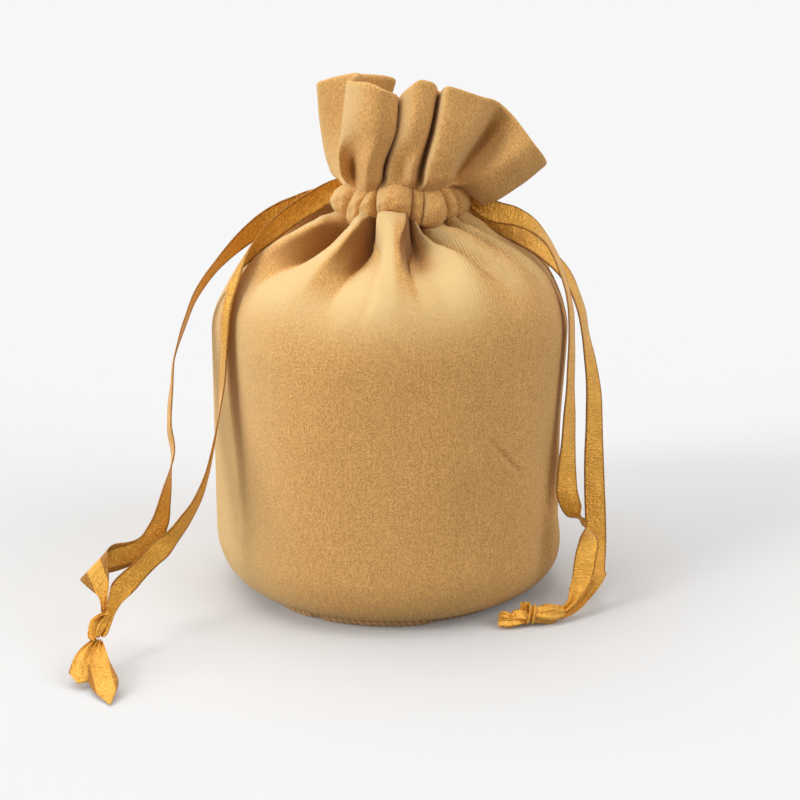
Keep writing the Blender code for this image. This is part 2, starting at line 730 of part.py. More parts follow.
def main():
    clear_scene()
    kit = bpy.data.collections.new(OBJECT_NAME)
    bpy.context.scene.collection.children.link(kit)
    velvet = make_material("tan_velvet", (0.60, 0.38, 0.16), 0.9)
    strip = make_material("base_seam_strip", (0.36, 0.22, 0.10), 0.85)
    thread = make_material("seam_thread", (0.52, 0.33, 0.14), 0.7)
    satin = make_material("gold_satin", (0.70, 0.42, 0.10), 0.4)
    bag = empty_at("bag_axis", Vector((0, 0, 0)), kit)
    neck_centre = Vector((NECK_OFFSET_X, 0, CHANNEL_Z))
    front_neck = empty_at("front_neck_slide", neck_centre, kit)
    back_neck = empty_at("back_neck_slide", neck_centre, kit)
    left_pull = empty_at("left_pull_slide", strand_start(-1, True).xyz, kit)
    right_pull = empty_at("right_pull_slide", strand_start(1, True).xyz, kit)
    make_base(velvet, strip, thread, kit, bag)
    make_body(velvet, thread, kit, bag)
    make_loop("left_loop", -1, LOOP_LIFT, satin, kit, bag)
    make_loop("right_loop", 1, -LOOP_LIFT, satin, kit, bag)
    make_neck_half("front", False, velvet, thread, kit, front_neck)
    make_neck_half("back", True, velvet, thread, kit, back_neck)
    left_routes = {"_front": LEFT_FRONT_ROUTE, "_back": LEFT_BACK_ROUTE}
    left_tails = {"_front": LEFT_FRONT_TAIL, "_back": LEFT_BACK_TAIL}
    make_drawstring("left", -1, LEFT_KNOT, left_routes, left_tails, satin, kit, left_pull)
    right_routes = {"_front": RIGHT_FRONT_ROUTE, "_back": RIGHT_BACK_ROUTE}
    right_tails = {"_front": RIGHT_FRONT_TAIL, "_back": RIGHT_BACK_TAIL}
    make_drawstring("right", 1, RIGHT_KNOT, right_routes, right_tails, satin, kit, right_pull)


main()
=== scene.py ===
"""Drawstring dice bag: a tan velvet barrel with a gathered neck, a ruffled header and gold satin ribbons.

Lengths are in metres unless a name says millimetres. The bag stands on z = 0 with its axis on Z and its
front towards -Y. Angles round the bag are counted from the front towards +X, in degrees.
"""

import logging
import math
from dataclasses import dataclass, field
from enum import Enum

import bmesh
import bpy
import numpy as np
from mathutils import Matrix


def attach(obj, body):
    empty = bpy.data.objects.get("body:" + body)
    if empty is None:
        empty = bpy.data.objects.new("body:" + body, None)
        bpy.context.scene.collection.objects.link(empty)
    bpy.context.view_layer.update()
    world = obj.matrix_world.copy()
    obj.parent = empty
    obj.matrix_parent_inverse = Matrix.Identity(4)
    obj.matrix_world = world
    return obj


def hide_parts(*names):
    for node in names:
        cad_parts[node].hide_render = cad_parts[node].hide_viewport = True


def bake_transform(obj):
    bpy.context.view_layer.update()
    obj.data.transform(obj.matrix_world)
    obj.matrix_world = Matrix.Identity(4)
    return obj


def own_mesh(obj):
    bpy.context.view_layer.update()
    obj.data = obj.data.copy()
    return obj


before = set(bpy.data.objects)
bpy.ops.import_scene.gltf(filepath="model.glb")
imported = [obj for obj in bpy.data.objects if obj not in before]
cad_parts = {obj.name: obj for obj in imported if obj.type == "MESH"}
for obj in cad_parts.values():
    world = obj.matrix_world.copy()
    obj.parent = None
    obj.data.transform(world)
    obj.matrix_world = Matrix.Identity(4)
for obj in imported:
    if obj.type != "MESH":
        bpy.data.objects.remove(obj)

Array = np.ndarray
Row = tuple[float, ...]
Piece = bpy.types.Object
Material = bpy.types.Material
Nodes = bpy.types.NodeTree
Socket = bpy.types.NodeSocket
Inputs = dict[str | int, object]

MM = 0.001
BODY_RADIUS = 0.054  # of the straight side
MM_PER_DEGREE = BODY_RADIUS / MM * math.pi / 180.0  # round the straight side
NECK_SHIFT = 0.003  # the drawn neck stands this far to the right of the axis
LOG = logging.getLogger("dice_bag")


class Side(Enum):
    """The two sides of the bag that a drawstring leaves from, as the sign of X."""

    LEFT = -1
    RIGHT = 1


def ease(low: float, high: float, x: Array) -> Array:
    """Rises smoothly from 0 at low to 1 at high.

    Args:
        low: where the rise starts.
        high: where it ends.
        x: places to read.

    Returns:
        t * t * (3 - 2 t) of the share t of the way, of x's shape.
    """
    t = np.clip((np.asarray(x, float) - low) / (high - low), 0.0, 1.0)
    return t * t * (3.0 - 2.0 * t)


def through(x: Array, knots: Array, values: Array) -> Array:
    """A cubic that passes through values at knots, with the slope of its neighbours at each knot.

    Args:
        x: places to read, held inside the knots.
        knots: rising places.
        values: one number or one row for each knot.

    Returns:
        One number or row for each place.
    """
    knots, values = np.asarray(knots, float), np.asarray(values, float)
    slopes = np.gradient(values, knots, axis=0)
    x = np.clip(np.asarray(x, float), knots[0], knots[-1])
    i = np.clip(np.searchsorted(knots, x, side="right") - 1, 0, len(knots) - 2)
    span = knots[i + 1] - knots[i]
    t = (x - knots[i]) / span
    tail = (1,) * (values.ndim - 1)
    t, span = t.reshape(t.shape + tail), span.reshape(span.shape + tail)
    first = values[i] * (1 + 2 * t) + slopes[i] * span * t
    last = values[i + 1] * (3 - 2 * t) - slopes[i + 1] * span * (1 - t)
    return first * (1 - t) ** 2 + last * t * t


def round_loop(t: Array, knots: Array, values: Array) -> Array:
    """The same cubic round a closed loop of length 1.

    Args:
        t: places on the loop, from 0 to 1.
        knots: rising places of the values, from 0 to less than 1.
        values: one row for each knot.

    Returns:
        One row for each place.
    """
    knots = np.concatenate([knots[-3:] - 1.0, knots, knots[:3] + 1.0])
    values = np.concatenate([values[-3:], values, values[:3]])
    return through(t, knots, values)


def unit(vectors: Array) -> Array:
    """The vectors at length 1."""
    return vectors / np.maximum(np.linalg.norm(vectors, axis=-1, keepdims=True), 1e-12)


def turn_about(vectors: Array, axes: Array, angles: Array) -> Array:
    """Turns vectors that are square to their axes by angles in radians: v cos a + (axis x v) sin a."""
    angles = np.asarray(angles)[..., None]
    return vectors * np.cos(angles) + np.cross(axes, vectors) * np.sin(angles)


def joined(*parts: Array | float) -> Array:
    """Arrays or numbers, side by side as the parts of points."""
    return np.stack(np.broadcast_arrays(*parts), axis=-1)


def polar(angle: Array, radius: Array, z: Array, centre: Array) -> Array:
    """Points at an angle from the front, a radius and a height, about an axis at x = centre."""
    return joined(centre + radius * np.sin(angle), -radius * np.cos(angle), z)


def bell(x: Array, centre: float, width: float) -> Array:
    """A bell curve of height 1."""
    return np.exp(-(((x - centre) / width) ** 2))


def walked(line: Array) -> Array:
    """Length along a line of points up to each of them."""
    return np.concatenate([[0.0], np.cumsum(np.linalg.norm(np.diff(line, axis=0), axis=1))])


def capped(rows: Array) -> Array:
    """Rows with the first and the last of them given twice, for closed ends."""
    return np.concatenate([rows[:1], rows, rows[-1:]])


def once_round(count: int, start: float = 0.0) -> Array:
    """Angles in radians at even steps once round, from start."""
    return np.linspace(start, start + 2 * math.pi, count, endpoint=False)


def normals(points: Array) -> Array:
    """Outward normals of a grid of points whose columns go once round."""
    across = np.roll(points, -1, axis=1) - np.roll(points, 1, axis=1)
    return unit(np.cross(across, np.gradient(points, axis=0)))


def both_faces(offsets: Row) -> tuple[Array, Array]:
    """A thin strip's section as rows: offsets over the face and back, and 1 on the face and -1 behind."""
    loop = np.concatenate([offsets, offsets[::-1]])[None, :]
    return loop, np.repeat([[1.0, -1.0]], len(offsets), axis=1)


@dataclass
class Patch:
    """A grid of points that becomes quads: rows run along the piece and columns round it.

    Attributes:
        points: rows x columns x 3, in metres.
        cloth: pattern coordinates on the cloth, of the same shape.
        wrap_rows: the last row joins the first.
        wrap_columns: the last column joins the first.
        painted_shading: painted shade up to 1 deep in a fold, painted highlight down to -1, or nothing for 0.
    """

    points: Array
    cloth: Array
    wrap_rows: bool = False
    wrap_columns: bool = True
    # painted light and shade of each point
    painted_shading: Array | None = None

    def paint_light_and_shade(self) -> Array:
        """Painted light and shade of each point, as one row."""
        plain = np.zeros(self.points.shape[:2])
        return (plain if self.painted_shading is None else plain + self.painted_shading).ravel()

    def quads(self) -> Array:
        """Corner numbers of the patch's quads, turned so that they face out."""
        rows, columns = self.points.shape[:2]
        low, left = np.meshgrid(
            np.arange(rows if self.wrap_rows else rows - 1),
            np.arange(columns if self.wrap_columns else columns - 1),
            indexing="ij",
        )
        high, right = (low + 1) % rows, (left + 1) % columns
        low, high = low * columns, high * columns
        return np.stack([low + left, low + right, high + right, high + left], axis=-1).reshape(-1, 4)


def make_piece(name: str, patches: list[Patch], weld: bool = False) -> Piece:
    """Puts patches into one mesh object at the origin.

    Args:
        name: the piece's name.
        patches: its grids.
        weld: joins points that lie on each other, as at the closed ends of a strip.

    Returns:
        The linked object, smooth shaded, with its attributes "cloth" and "painted_shading".
    """
    starts = np.cumsum([0] + [p.points.shape[0] * p.points.shape[1] for p in patches])
    points = np.concatenate([p.points.reshape(-1, 3) for p in patches])
    cloth = np.concatenate([p.cloth.reshape(-1, 3) for p in patches])
    quads = np.concatenate([p.quads() + start for p, start in zip(patches, starts)])
    mesh = bpy.data.meshes.new(name)
    mesh.vertices.add(len(points))
    mesh.vertices.foreach_set("co", points.astype(np.float32).ravel())
    mesh.loops.add(quads.size)
    mesh.loops.foreach_set("vertex_index", quads.astype(np.int32).ravel())
    mesh.polygons.add(len(quads))
    mesh.polygons.foreach_set("loop_start", np.arange(0, quads.size, 4, dtype=np.int32))
    mesh.update(calc_edges=True)
    mesh.validate()
    attribute = mesh.attributes.new("cloth", "FLOAT_VECTOR", "POINT")
    attribute.data.foreach_set("vector", cloth.astype(np.float32).ravel())
    # attribute of painted shade and painted highlights, read by the velvet
    painted_shading = mesh.attributes.new("painted_shading", "FLOAT", "POINT")
    painted_shading.data.foreach_set("value", np.concatenate([p.paint_light_and_shade() for p in patches]).astype(np.float32))
    if weld:
        bm = bmesh.new()
        bm.from_mesh(mesh)
        bmesh.ops.remove_doubles(bm, verts=bm.verts, dist=1e-6)
        bm.to_mesh(mesh)
        bm.free()
    mesh.shade_smooth()
    piece = bpy.data.objects.new(name, mesh)
    bpy.context.scene.collection.objects.link(piece)
    return piece


def dress(piece: Piece, material: Material, nodes: tuple[str, ...]) -> None:
    """Gives a piece its material, hides the nodes that it stands for and logs its faces and those nodes."""
    piece.data.materials.clear()
    piece.data.materials.append(material)
    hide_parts(*nodes)
    LOG.info("%s: %d faces, stands for %s", piece.name, len(piece.data.polygons), ", ".join(nodes))


def bag_piece(
    name: str, patches: list[Patch], material: Material, nodes: tuple[str, ...], weld: bool = False
) -> Piece:
    """Makes and dresses a piece that rides on the bag.

    Args:
        name: the piece's name.
        patches: its grids.
        material: its material.
        nodes: the nodes that it stands for.
        weld: joins points that lie on each other.

    Returns:
        The piece.
    """
    piece = make_piece(name, patches, weld)
    dress(piece, material, nodes)
    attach(piece, "bag")
    return piece


class Graph:
    """Adds and links the nodes of one material or node group."""

    def __init__(self, tree: Nodes) -> None:
        """Works on a node tree."""
        self.tree = tree

    def feed(self, socket: Socket, value: object) -> None:
        """Links an output to an input socket, or sets the socket's value."""
        if isinstance(value, Socket):
            self.tree.links.new(value, socket)
        else:
            socket.default_value = value

    def fill(self, node: bpy.types.Node, inputs: Inputs) -> None:
        """Feeds a node's inputs, each of them given by name or number."""
        for key, value in inputs.items():
            self.feed(node.inputs[key], value)

    def add(self, kind: str, inputs: Inputs | None = None, **settings: object) -> bpy.types.Node:
        """Adds a node.

        Args:
            kind: the node's type name.
            inputs: a value or an output socket for each input, by name or number.
            settings: the node's own properties.

        Returns:
            The new node.
        """
        node = self.tree.nodes.new(kind)
        for key, value in settings.items():
            setattr(node, key, value)
        self.fill(node, inputs or {})
        return node

    def use(self, group: Nodes, inputs: Inputs) -> dict[str, Socket]:
        """Adds a node group with its inputs, and gives its outputs by name."""
        node = self.add("ShaderNodeGroup", inputs, node_tree=group)
        return {socket.name: socket for socket in node.outputs}

    def attribute(self, name: str, kind: str) -> Socket:
        """Reads an attribute of the mesh as a "Vector" or as a single "Fac"."""
        return self.add("ShaderNodeAttribute", attribute_name=name).outputs[kind]

    def relief(self, shader: bpy.types.Node, height: Socket, distance: float, strength: float) -> None:
        """Raises a shader's surface by a height."""
        bump = self.add("ShaderNodeBump", {"Height": height, "Distance": distance, "Strength": strength})
        self.feed(shader.inputs["Normal"], bump.outputs["Normal"])

    def math(self, operation: str, a: object, b: object = 0.0, clamp: bool = False) -> Socket:
        """One step of arithmetic on two values."""
        return self.add("ShaderNodeMath", {0: a, 1: b}, operation=operation, use_clamp=clamp).outputs[0]

    def span(self, value: object, low: float, high: float, start: float = 0.0, end: float = 1.0) -> Socket:
        """Carries a value's stretch from low to high onto start to end, smoothly and held at both."""
        inputs = {"Value": value, "From Min": low, "From Max": high, "To Min": start, "To Max": end}
        return self.add("ShaderNodeMapRange", inputs, interpolation_type="SMOOTHSTEP").outputs["Result"]

    def blend(self, share: object, first: object, second: object) -> Socket:
        """Mixes two colours."""
        return self.add("ShaderNodeMix", {0: share, 6: first, 7: second}, data_type="RGBA").outputs[2]

    def noise(self, vector: object, scale: object, detail: float = 2.0, roughness: float = 0.5) -> Socket:
        """Soft noise from 0 to 1."""
        inputs = {"Vector": vector, "Scale": scale, "Detail": detail, "Roughness": roughness}
        return self.add("ShaderNodeTexNoise", inputs).outputs["Fac"]

    def stretch(self, vector: object, scale: Row) -> Socket:
        """Scales a vector's parts."""
        return self.add("ShaderNodeMapping", {"Vector": vector, "Scale": scale}).outputs["Vector"]


def rgba(colour: Row) -> Row:
    """A colour with full cover."""
    return (*colour, 1.0)


def new_material(name: str) -> tuple[Material, Graph, bpy.types.Node]:
    """An empty material with its graph and its Principled shader."""
    material = bpy.data.materials.new(name)
    material.use_nodes = True
    return material, Graph(material.node_tree), material.node_tree.nodes["Principled BSDF"]


def new_group(
    name: str, values: tuple[str, ...], results: tuple[str, ...]
) -> tuple[Nodes, Graph, dict[str, Socket]]:
    """Starts a node group that takes a vector and some values.

    Args:
        name: the group's name.
        values: names of the values that it takes.
        results: names of the values that it gives.

    Returns:
        The group, its graph, and what it takes, by name.
    """
    group = bpy.data.node_groups.new(name, "ShaderNodeTree")
    group.interface.new_socket("Vector", in_out="INPUT", socket_type="NodeSocketVector")
    for label in values:
        group.interface.new_socket(label, in_out="INPUT", socket_type="NodeSocketFloat")
    for label in results:
        group.interface.new_socket(label, in_out="OUTPUT", socket_type="NodeSocketFloat")
    graph = Graph(group)
    given = graph.add("NodeGroupInput").outputs
    return group, graph, {label: given[label] for label in ("Vector", *values)}


def pile_group() -> Nodes:
    """The shared grain of short pile: crepe-like tufts, their rows along the cloth, and brushed patches.

    Returns:
        A node group. Tuft is 0 in the pits and 1 on the tips, and Patch is the slow change of the nap.
    """
    group, graph, given = new_group("Pile", ("Fineness", "Rows"), ("Tuft", "Patch"))
    vector, fineness = given["Vector"], given["Fineness"]
    patches_in_metre = 42.0
    fine = graph.noise(graph.stretch(vector, (1.0, 1.0, 0.8)), fineness, 2.0, 0.6)
    rows = graph.noise(graph.stretch(vector, (1.0, 1.0, 0.10)), fineness, 1.0, 0.5)
    lined_up = graph.math("MULTIPLY", graph.math("SUBTRACT", rows, 0.5), given["Rows"])
    tuft = graph.math("ADD", fine, lined_up)
    patch = graph.noise(graph.stretch(vector, (1.0, 1.0, 0.7)), patches_in_metre, 2.0, 0.5)
    graph.add("NodeGroupOutput", {"Tuft": graph.span(tuft, 0.25, 0.75), "Patch": patch})
    return group


@dataclass(frozen=True)
class Velvet:
    """Tan velour: short pile with darker pits, a pale bloom along edges, a slow change of nap, painted shade
    in folds and painted highlights on faces turned to the light.

    Attributes:
        name: the material's name.
        tip: colour of the pile's tips.
        pit: colour between the tufts.
        pale: painted highlight colour, on faces turned to the light, the shoulder's crown and the left side.
        deep: painted shade colour, in the depth of a fold and on faces turned from the light.
        bloom: colour of the sheen.
        bloom_weight: strength of the sheen.
        bloom_width: how far the sheen spreads from an edge.
        gloss: strength of the plain shine.
        fineness: tufts in a metre.
        rows: how much the tufts line up along the cloth.
        relief: depth of the tufts.
        rib_count: turns of the ribs' wave in a radian round the bag, times 2 pi.
        rib_tint: how much the ribs change the cover of the pile.
        rib_start: angles round the bag between which the ribs set in, in radians.
        rib_end: angles between which they fade out.
        rib_foot: lengths up the wall's section between which they set in.
        rib_head: lengths between which they fade, to the share rib_rest.
        rib_rest: share of the ribs that is left above.
        wall_girth: squares of the cloth coordinates' radius between which the wall starts.
    """

    name: str = "tan_velvet"
    tip: Row = (0.82, 0.460, 0.155)
    pit: Row = (0.43, 0.205, 0.054)
    # painted highlight colour
    pale: Row = (0.72, 0.495, 0.220)
    # painted shade colour
    deep: Row = (0.24, 0.084, 0.012)
    bloom: Row = (1.0, 0.92, 0.66)
    bloom_weight: float = 0.26
    bloom_width: float = 0.50
    gloss: float = 0.12
    fineness: float = 2300.0
    rows: float = 0.22
    relief: float = 0.00016
    rib_count: float = 290.0
    rib_tint: float = 0.34
    rib_start: Row = (0.36, 0.56)
    rib_end: Row = (1.42, 1.20)
    rib_foot: Row = (0.096, 0.114)
    rib_head: Row = (0.141, 0.126)
    rib_rest: float = 0.35
    wall_girth: Row = (0.0024, 0.0027)

    def build(self, pile: Nodes) -> Material:
        """Builds the material.

        Args:
            pile: the shared pile group.

        Returns:
            The material, which reads the attributes "cloth" and "painted_shading", which lays painted shade
            and painted highlights.
        """
        material, graph, shader = new_material(self.name)
        cloth, painted_shading = graph.attribute("cloth", "Vector"), graph.attribute("painted_shading", "Fac")
        grain = graph.use(pile, {"Vector": cloth, "Fineness": self.fineness, "Rows": self.rows})
        tuft = grain["Tuft"]
        shade = graph.span(grain["Patch"], 0.3, 0.7, 0.90, 1.02)
        cover = graph.math("MULTIPLY", graph.span(tuft, 0.0, 1.0, 0.30, 1.0), shade, clamp=True)
        ribs = self.ribs(graph, cloth)
        cover = graph.math("ADD", cover, graph.math("MULTIPLY", ribs, self.rib_tint), clamp=True)
        nap = graph.blend(cover, rgba(self.pit), rgba(self.tip))
        # painted highlight: the nap turns towards pale where the painted shading is below 0
        nap_with_painted_highlight = graph.blend(graph.span(painted_shading, 0.0, -1.0), nap, rgba(self.pale))
        graph.relief(shader, graph.math("ADD", tuft, ribs), self.relief, 0.8)
        graph.fill(shader, {
            # painted shade: the colour turns towards deep where the painted shading is above 0
            "Base Color": graph.blend(graph.span(painted_shading, 0.0, 1.0), nap_with_painted_highlight, rgba(self.deep)),
            "Roughness": graph.span(tuft, 0.0, 1.0, 0.95, 0.78),
            "Specular IOR Level": self.gloss,
            "Sheen Weight": self.bloom_weight,
            "Sheen Roughness": self.bloom_width,
            "Sheen Tint": rgba(self.bloom),
        })
        return material

    def ribs(self, graph: Graph, cloth: Socket) -> Socket:
        """Fine ribs of drawn-up cloth along the folds of the wall's right shoulder.

        Args:
            graph: the material's graph.
            cloth: the cloth coordinates, which lie on a wide circle on the wall alone.

        Returns:
            A sine wave of the angle round the bag from -1 to 1, and 0 away from that shoulder.
        """
        x, y, z = graph.add("ShaderNodeSeparateXYZ", {"Vector": cloth}).outputs
        turn = graph.math("ARCTAN2", x, graph.math("MULTIPLY", y, -1.0))
        wave = graph.math("SINE", graph.math("MULTIPLY", turn, self.rib_count))
        girth = graph.math("ADD", graph.math("MULTIPLY", x, x), graph.math("MULTIPLY", y, y))
        limits = (
            graph.span(turn, *self.rib_start),
            graph.span(turn, *self.rib_end),
            graph.span(z, *self.rib_foot),
            graph.span(z, *self.rib_head, self.rib_rest),
            graph.span(girth, *self.wall_girth),
        )
        for limit in limits:
            wave = graph.math("MULTIPLY", wave, limit)
        return wave


def weft_group() -> Nodes:
    """The shared cross ribs of woven ribbon and tape.

    Returns:
        A node group. Its vector holds the place across and along the strip, in metres. Rib is the height of
        the cross threads, Glint their uneven shine and Edge is 1 on the woven selvedge.
    """
    group, graph, given = new_group("Weft", ("Pitch", "Half"), ("Rib", "Glint", "Edge"))
    vector = given["Vector"]
    waves_in_metre, wave_height, glints_in_metre = 260.0, 0.0006, 2300.0
    across, along, _ = graph.add("ShaderNodeSeparateXYZ", {"Vector": vector}).outputs
    wander = graph.math("MULTIPLY", graph.noise(vector, waves_in_metre, 1.0), wave_height)
    turns = graph.math("DIVIDE", graph.math("ADD", along, wander), given["Pitch"])
    rib = graph.math("SINE", graph.math("MULTIPLY", turns, 2.0 * math.pi))
    glint = graph.noise(graph.stretch(vector, (0.22, 1.0, 1.0)), glints_in_metre, 2.0, 0.6)
    offset = graph.math("DIVIDE", graph.math("ABSOLUTE", across), given["Half"])
    graph.add("NodeGroupOutput", {
        "Rib": graph.math("ADD", graph.math("MULTIPLY", rib, 0.5), 0.5),
        "Glint": graph.span(glint, 0.38, 0.66),
        "Edge": graph.span(offset, 0.84, 0.95),
    })
    return group


NO_EDGE = 0.02  # half the width of a strip on which no selvedge shows


@dataclass(frozen=True)
class Satin:
    """Gold satin ribbon: fine cross ribs with an uneven shine, small crinkles and a darker woven edge.

    Attributes:
        name: the material's name.
        face: colour of the ribbon's face.
        deep: colour between the ribs.
        edge: colour of the selvedge.
        sheen: colour of the sheen.
        metal: how much of the shine takes the ribbon's own colour.
        pitch: distance between ribs.
        half: half the ribbon's width.
        clouds: slow changes of colour in a metre.
        crinkles: crinkles in a metre.
        crinkle_height: height of a crinkle, as a multiple of the relief.
        relief: depth of the weave.
    """

    name: str = "gold_satin"
    face: Row = (0.90, 0.46, 0.066)
    deep: Row = (0.68, 0.32, 0.032)
    edge: Row = (0.40, 0.165, 0.014)
    sheen: Row = (1.0, 0.78, 0.35)
    metal: float = 0.40
    pitch: float = 0.00042
    half: float = 0.003
    clouds: float = 190.0
    crinkles: float = 1050.0
    crinkle_height: float = 2.4
    relief: float = 0.00026

    def build(self, weft: Nodes) -> Material:
        """Builds the material from the shared weft group."""
        material, graph, shader = new_material(self.name)
        cloth = graph.attribute("cloth", "Vector")
        weave = graph.use(weft, {"Vector": cloth, "Pitch": self.pitch, "Half": self.half})
        glint = weave["Glint"]
        cloud = graph.span(graph.noise(cloth, self.clouds, 2.0), 0.3, 0.7, 0.25, 0.6)
        cover = graph.math("ADD", graph.math("MULTIPLY", glint, 0.45), cloud, clamp=True)
        body = graph.blend(cover, rgba(self.deep), rgba(self.face))
        crinkle = graph.noise(graph.stretch(cloth, (1.0, 0.55, 1.0)), self.crinkles, 2.0, 0.55)
        threads = graph.math("ADD", graph.math("MULTIPLY", weave["Rib"], 0.35), glint)
        height = graph.math("ADD", threads, graph.math("MULTIPLY", crinkle, self.crinkle_height))
        graph.relief(shader, height, self.relief, 0.85)
        graph.fill(shader, {
            "Base Color": graph.blend(weave["Edge"], body, rgba(self.edge)),
            "Roughness": graph.span(glint, 0.0, 1.0, 0.48, 0.26),
            "Metallic": self.metal,
            "Sheen Weight": 0.10,
            "Sheen Tint": rgba(self.sheen),
        })
        return material


@dataclass(frozen=True)
class SeamTape:
    """The strip of the base seam: the velvet's turned edge with slanted cross ribs.

    Attributes:
        name: the material's name.
        ridge: colour on the ribs.
        groove: colour between them.
        pitch: distance between ribs.
        fuzz: tufts in a metre.
        relief: depth of the ribs.
    """

    name: str = "seam_tape"
    ridge: Row = (0.66, 0.39, 0.165)
    groove: Row = (0.40, 0.205, 0.076)
    pitch: float = 0.0021
    fuzz: float = 1100.0
    relief: float = 0.0003

    def build(self, weft: Nodes, pile: Nodes) -> Material:
        """Builds the material from the shared weft and pile groups."""
        material, graph, shader = new_material(self.name)
        cloth = graph.attribute("cloth", "Vector")
        ribs = graph.use(weft, {"Vector": cloth, "Pitch": self.pitch, "Half": NO_EDGE})
        fuzz = graph.use(pile, {"Vector": cloth, "Fineness": self.fuzz, "Rows": 0.0})
        height = graph.math("ADD", ribs["Rib"], graph.math("MULTIPLY", fuzz["Tuft"], 0.4))
        cover = graph.span(height, 0.1, 1.2, 0.15, 1.0)
        colour = graph.blend(cover, rgba(self.groove), rgba(self.ridge))
        graph.relief(shader, height, self.relief, 0.6)
        graph.fill(shader, {"Base Color": colour, "Roughness": 0.85})
        return material


@dataclass(frozen=True)
class Thread:
    """Matt sewing thread with its twist.

    Attributes:
        name: the material's name.
        light: colour on the twist.
        dark: colour between its turns.
        twist: length of one turn.
        relief: depth of the twist.
    """

    name: str = "seam_thread"
    light: Row = (0.50, 0.28, 0.10)
    dark: Row = (0.28, 0.14, 0.045)
    twist: float = 0.0005
    relief: float = 0.00008

    def build(self, weft: Nodes) -> Material:
        """Builds the material from the shared weft group, with its ribs as the twist."""
        material, graph, shader = new_material(self.name)
        cloth = graph.attribute("cloth", "Vector")
        rib = graph.use(weft, {"Vector": cloth, "Pitch": self.twist, "Half": NO_EDGE})["Rib"]
        colour = graph.blend(rib, rgba(self.dark), rgba(self.light))
        graph.relief(shader, rib, self.relief, 0.6)
        graph.fill(shader, {"Base Color": colour, "Roughness": 0.7})
        return material


@dataclass
class Finishes:
    """The materials of the bag, built once from the shared groups."""

    velvet: Material = field(init=False)
    satin: Material = field(init=False)
    tape: Material = field(init=False)
    thread: Material = field(init=False)

    def __post_init__(self) -> None:
        """Builds the groups and the materials."""
        pile, weft = pile_group(), weft_group()
        self.velvet = Velvet().build(pile)
        self.satin = Satin().build(weft)
        self.tape = SeamTape().build(weft, pile)
        self.thread = Thread().build(weft)


# Shares of the way up the shoulder at which the fold lines are given
FOLD_SHARES = (0.12, 0.30, 0.45, 0.60, 0.70, 0.80, 0.90, 1.00)

# Fold lines of the front of the shoulder from left to right: angles at those shares, then heights there, from
# 0 in a valley to 1 on a ridge
FRONT_FOLDS = (
    ((-90, -91, -92, -92, -92, -92, -92, -91), (0, 0, 0, 0, 0, 0, 0, 0)),
    ((-62, -66, -71, -70, -66, -60, -57, -66), (1, 1, 1, 1, 1, 1, 1, 0.9)),
    ((-54, -57, -58, -56, -52, -47.5, -47, -50), (0, 0, 0, 0, 0, 0, 0, 0.2)),
    ((-34, -35, -34, -32, -30, -28, -26.5, -28), (1, 1, 1, 1, 1, 1, 0.95, 0.9)),
    ((-22, -22, -22.5, -22, -21, -20, -18.5, -21), (0, 0, 0, 0, 0, 0, 0, 0)),
    ((-10, -10, -9, -9, -9.5, -11.5, -17, -19), (0.3, 0.3, 0.35, 0.4, 0.35, 0.3, 0.4, 0.4)),
    ((-6, -6, -5.5, -6, -7, -8.5, -14, -16.5), (0.6, 0.6, 0.75, 0.9, 0.95, 0.95, 0.95, 0.9)),
    ((0, 0, -0.5, -2, -3, -4, -5.5, -6.5), (0.8, 0.8, 0.95, 1.08, 1.12, 1.12, 1.1, 0.85)),
    ((6, 6, 4.5, 2, 1, 0.5, 3, 3.5), (0.6, 0.6, 0.75, 0.9, 0.95, 0.95, 0.95, 0.9)),
    ((11, 11, 8, 5, 4, 4, 6.5, 6), (0.4, 0.4, 0.45, 0.4, 0.2, 0.05, 0.1, 0.4)),
    ((17, 17, 16, 14, 12, 9, 9, 8), (0.3, 0.3, 0.35, 0.3, 0.1, 0, 0, 0)),
    ((31, 32, 31.5, 30.5, 29, 25, 20, 13), (0.7, 0.7, 0.8, 0.8, 0.75, 0.65, 0.55, 0.6)),
    ((42, 42, 42, 40, 37, 32, 26, 18), (0.3, 0.3, 0.3, 0.2, 0.15, 0.1, 0.1, 0)),
    ((53, 54, 55, 54, 51, 46, 42, 33), (0.6, 0.6, 0.7, 0.75, 0.7, 0.7, 0.7, 0.7)),
    ((62, 62, 63, 62, 60, 56, 50, 46), (0.3, 0.3, 0.3, 0.25, 0.2, 0.15, 0.15, 0)),
    ((69, 70, 71, 70, 68, 64, 58, 53), (0.5, 0.5, 0.6, 0.65, 0.65, 0.65, 0.65, 0.6)),
    ((80, 80, 80, 79, 77, 74, 68, 61), (0.2, 0.2, 0.2, 0.2, 0.2, 0.15, 0.1, 0)),
    ((91, 91, 90, 88, 86, 84, 80, 75), (0.5, 0.5, 0.6, 0.6, 0.6, 0.65, 0.65, 0.7)),
    ((101, 101, 100, 99, 97, 95, 92, 90), (0, 0, 0, 0, 0, 0, 0, 0)),
)


def back_folds() -> tuple[tuple[Row, Row], ...]:
    """Fold lines behind the bag: plain ridges and valleys in turn, straight up to the neck."""
    lines = []
    for k, angle in enumerate((113, 125, 137, 148, 159, 169, 180, 191, 203, 214, 226, 237, 249)):
        height = 0.05 if k % 2 else 0.9 + 0.1 * (k % 4 == 0)
        lines.append(((float(angle),) * len(FOLD_SHARES), (height,) * len(FOLD_SHARES)))
    return tuple(lines)


FOLD_LINES = FRONT_FOLDS + back_folds()


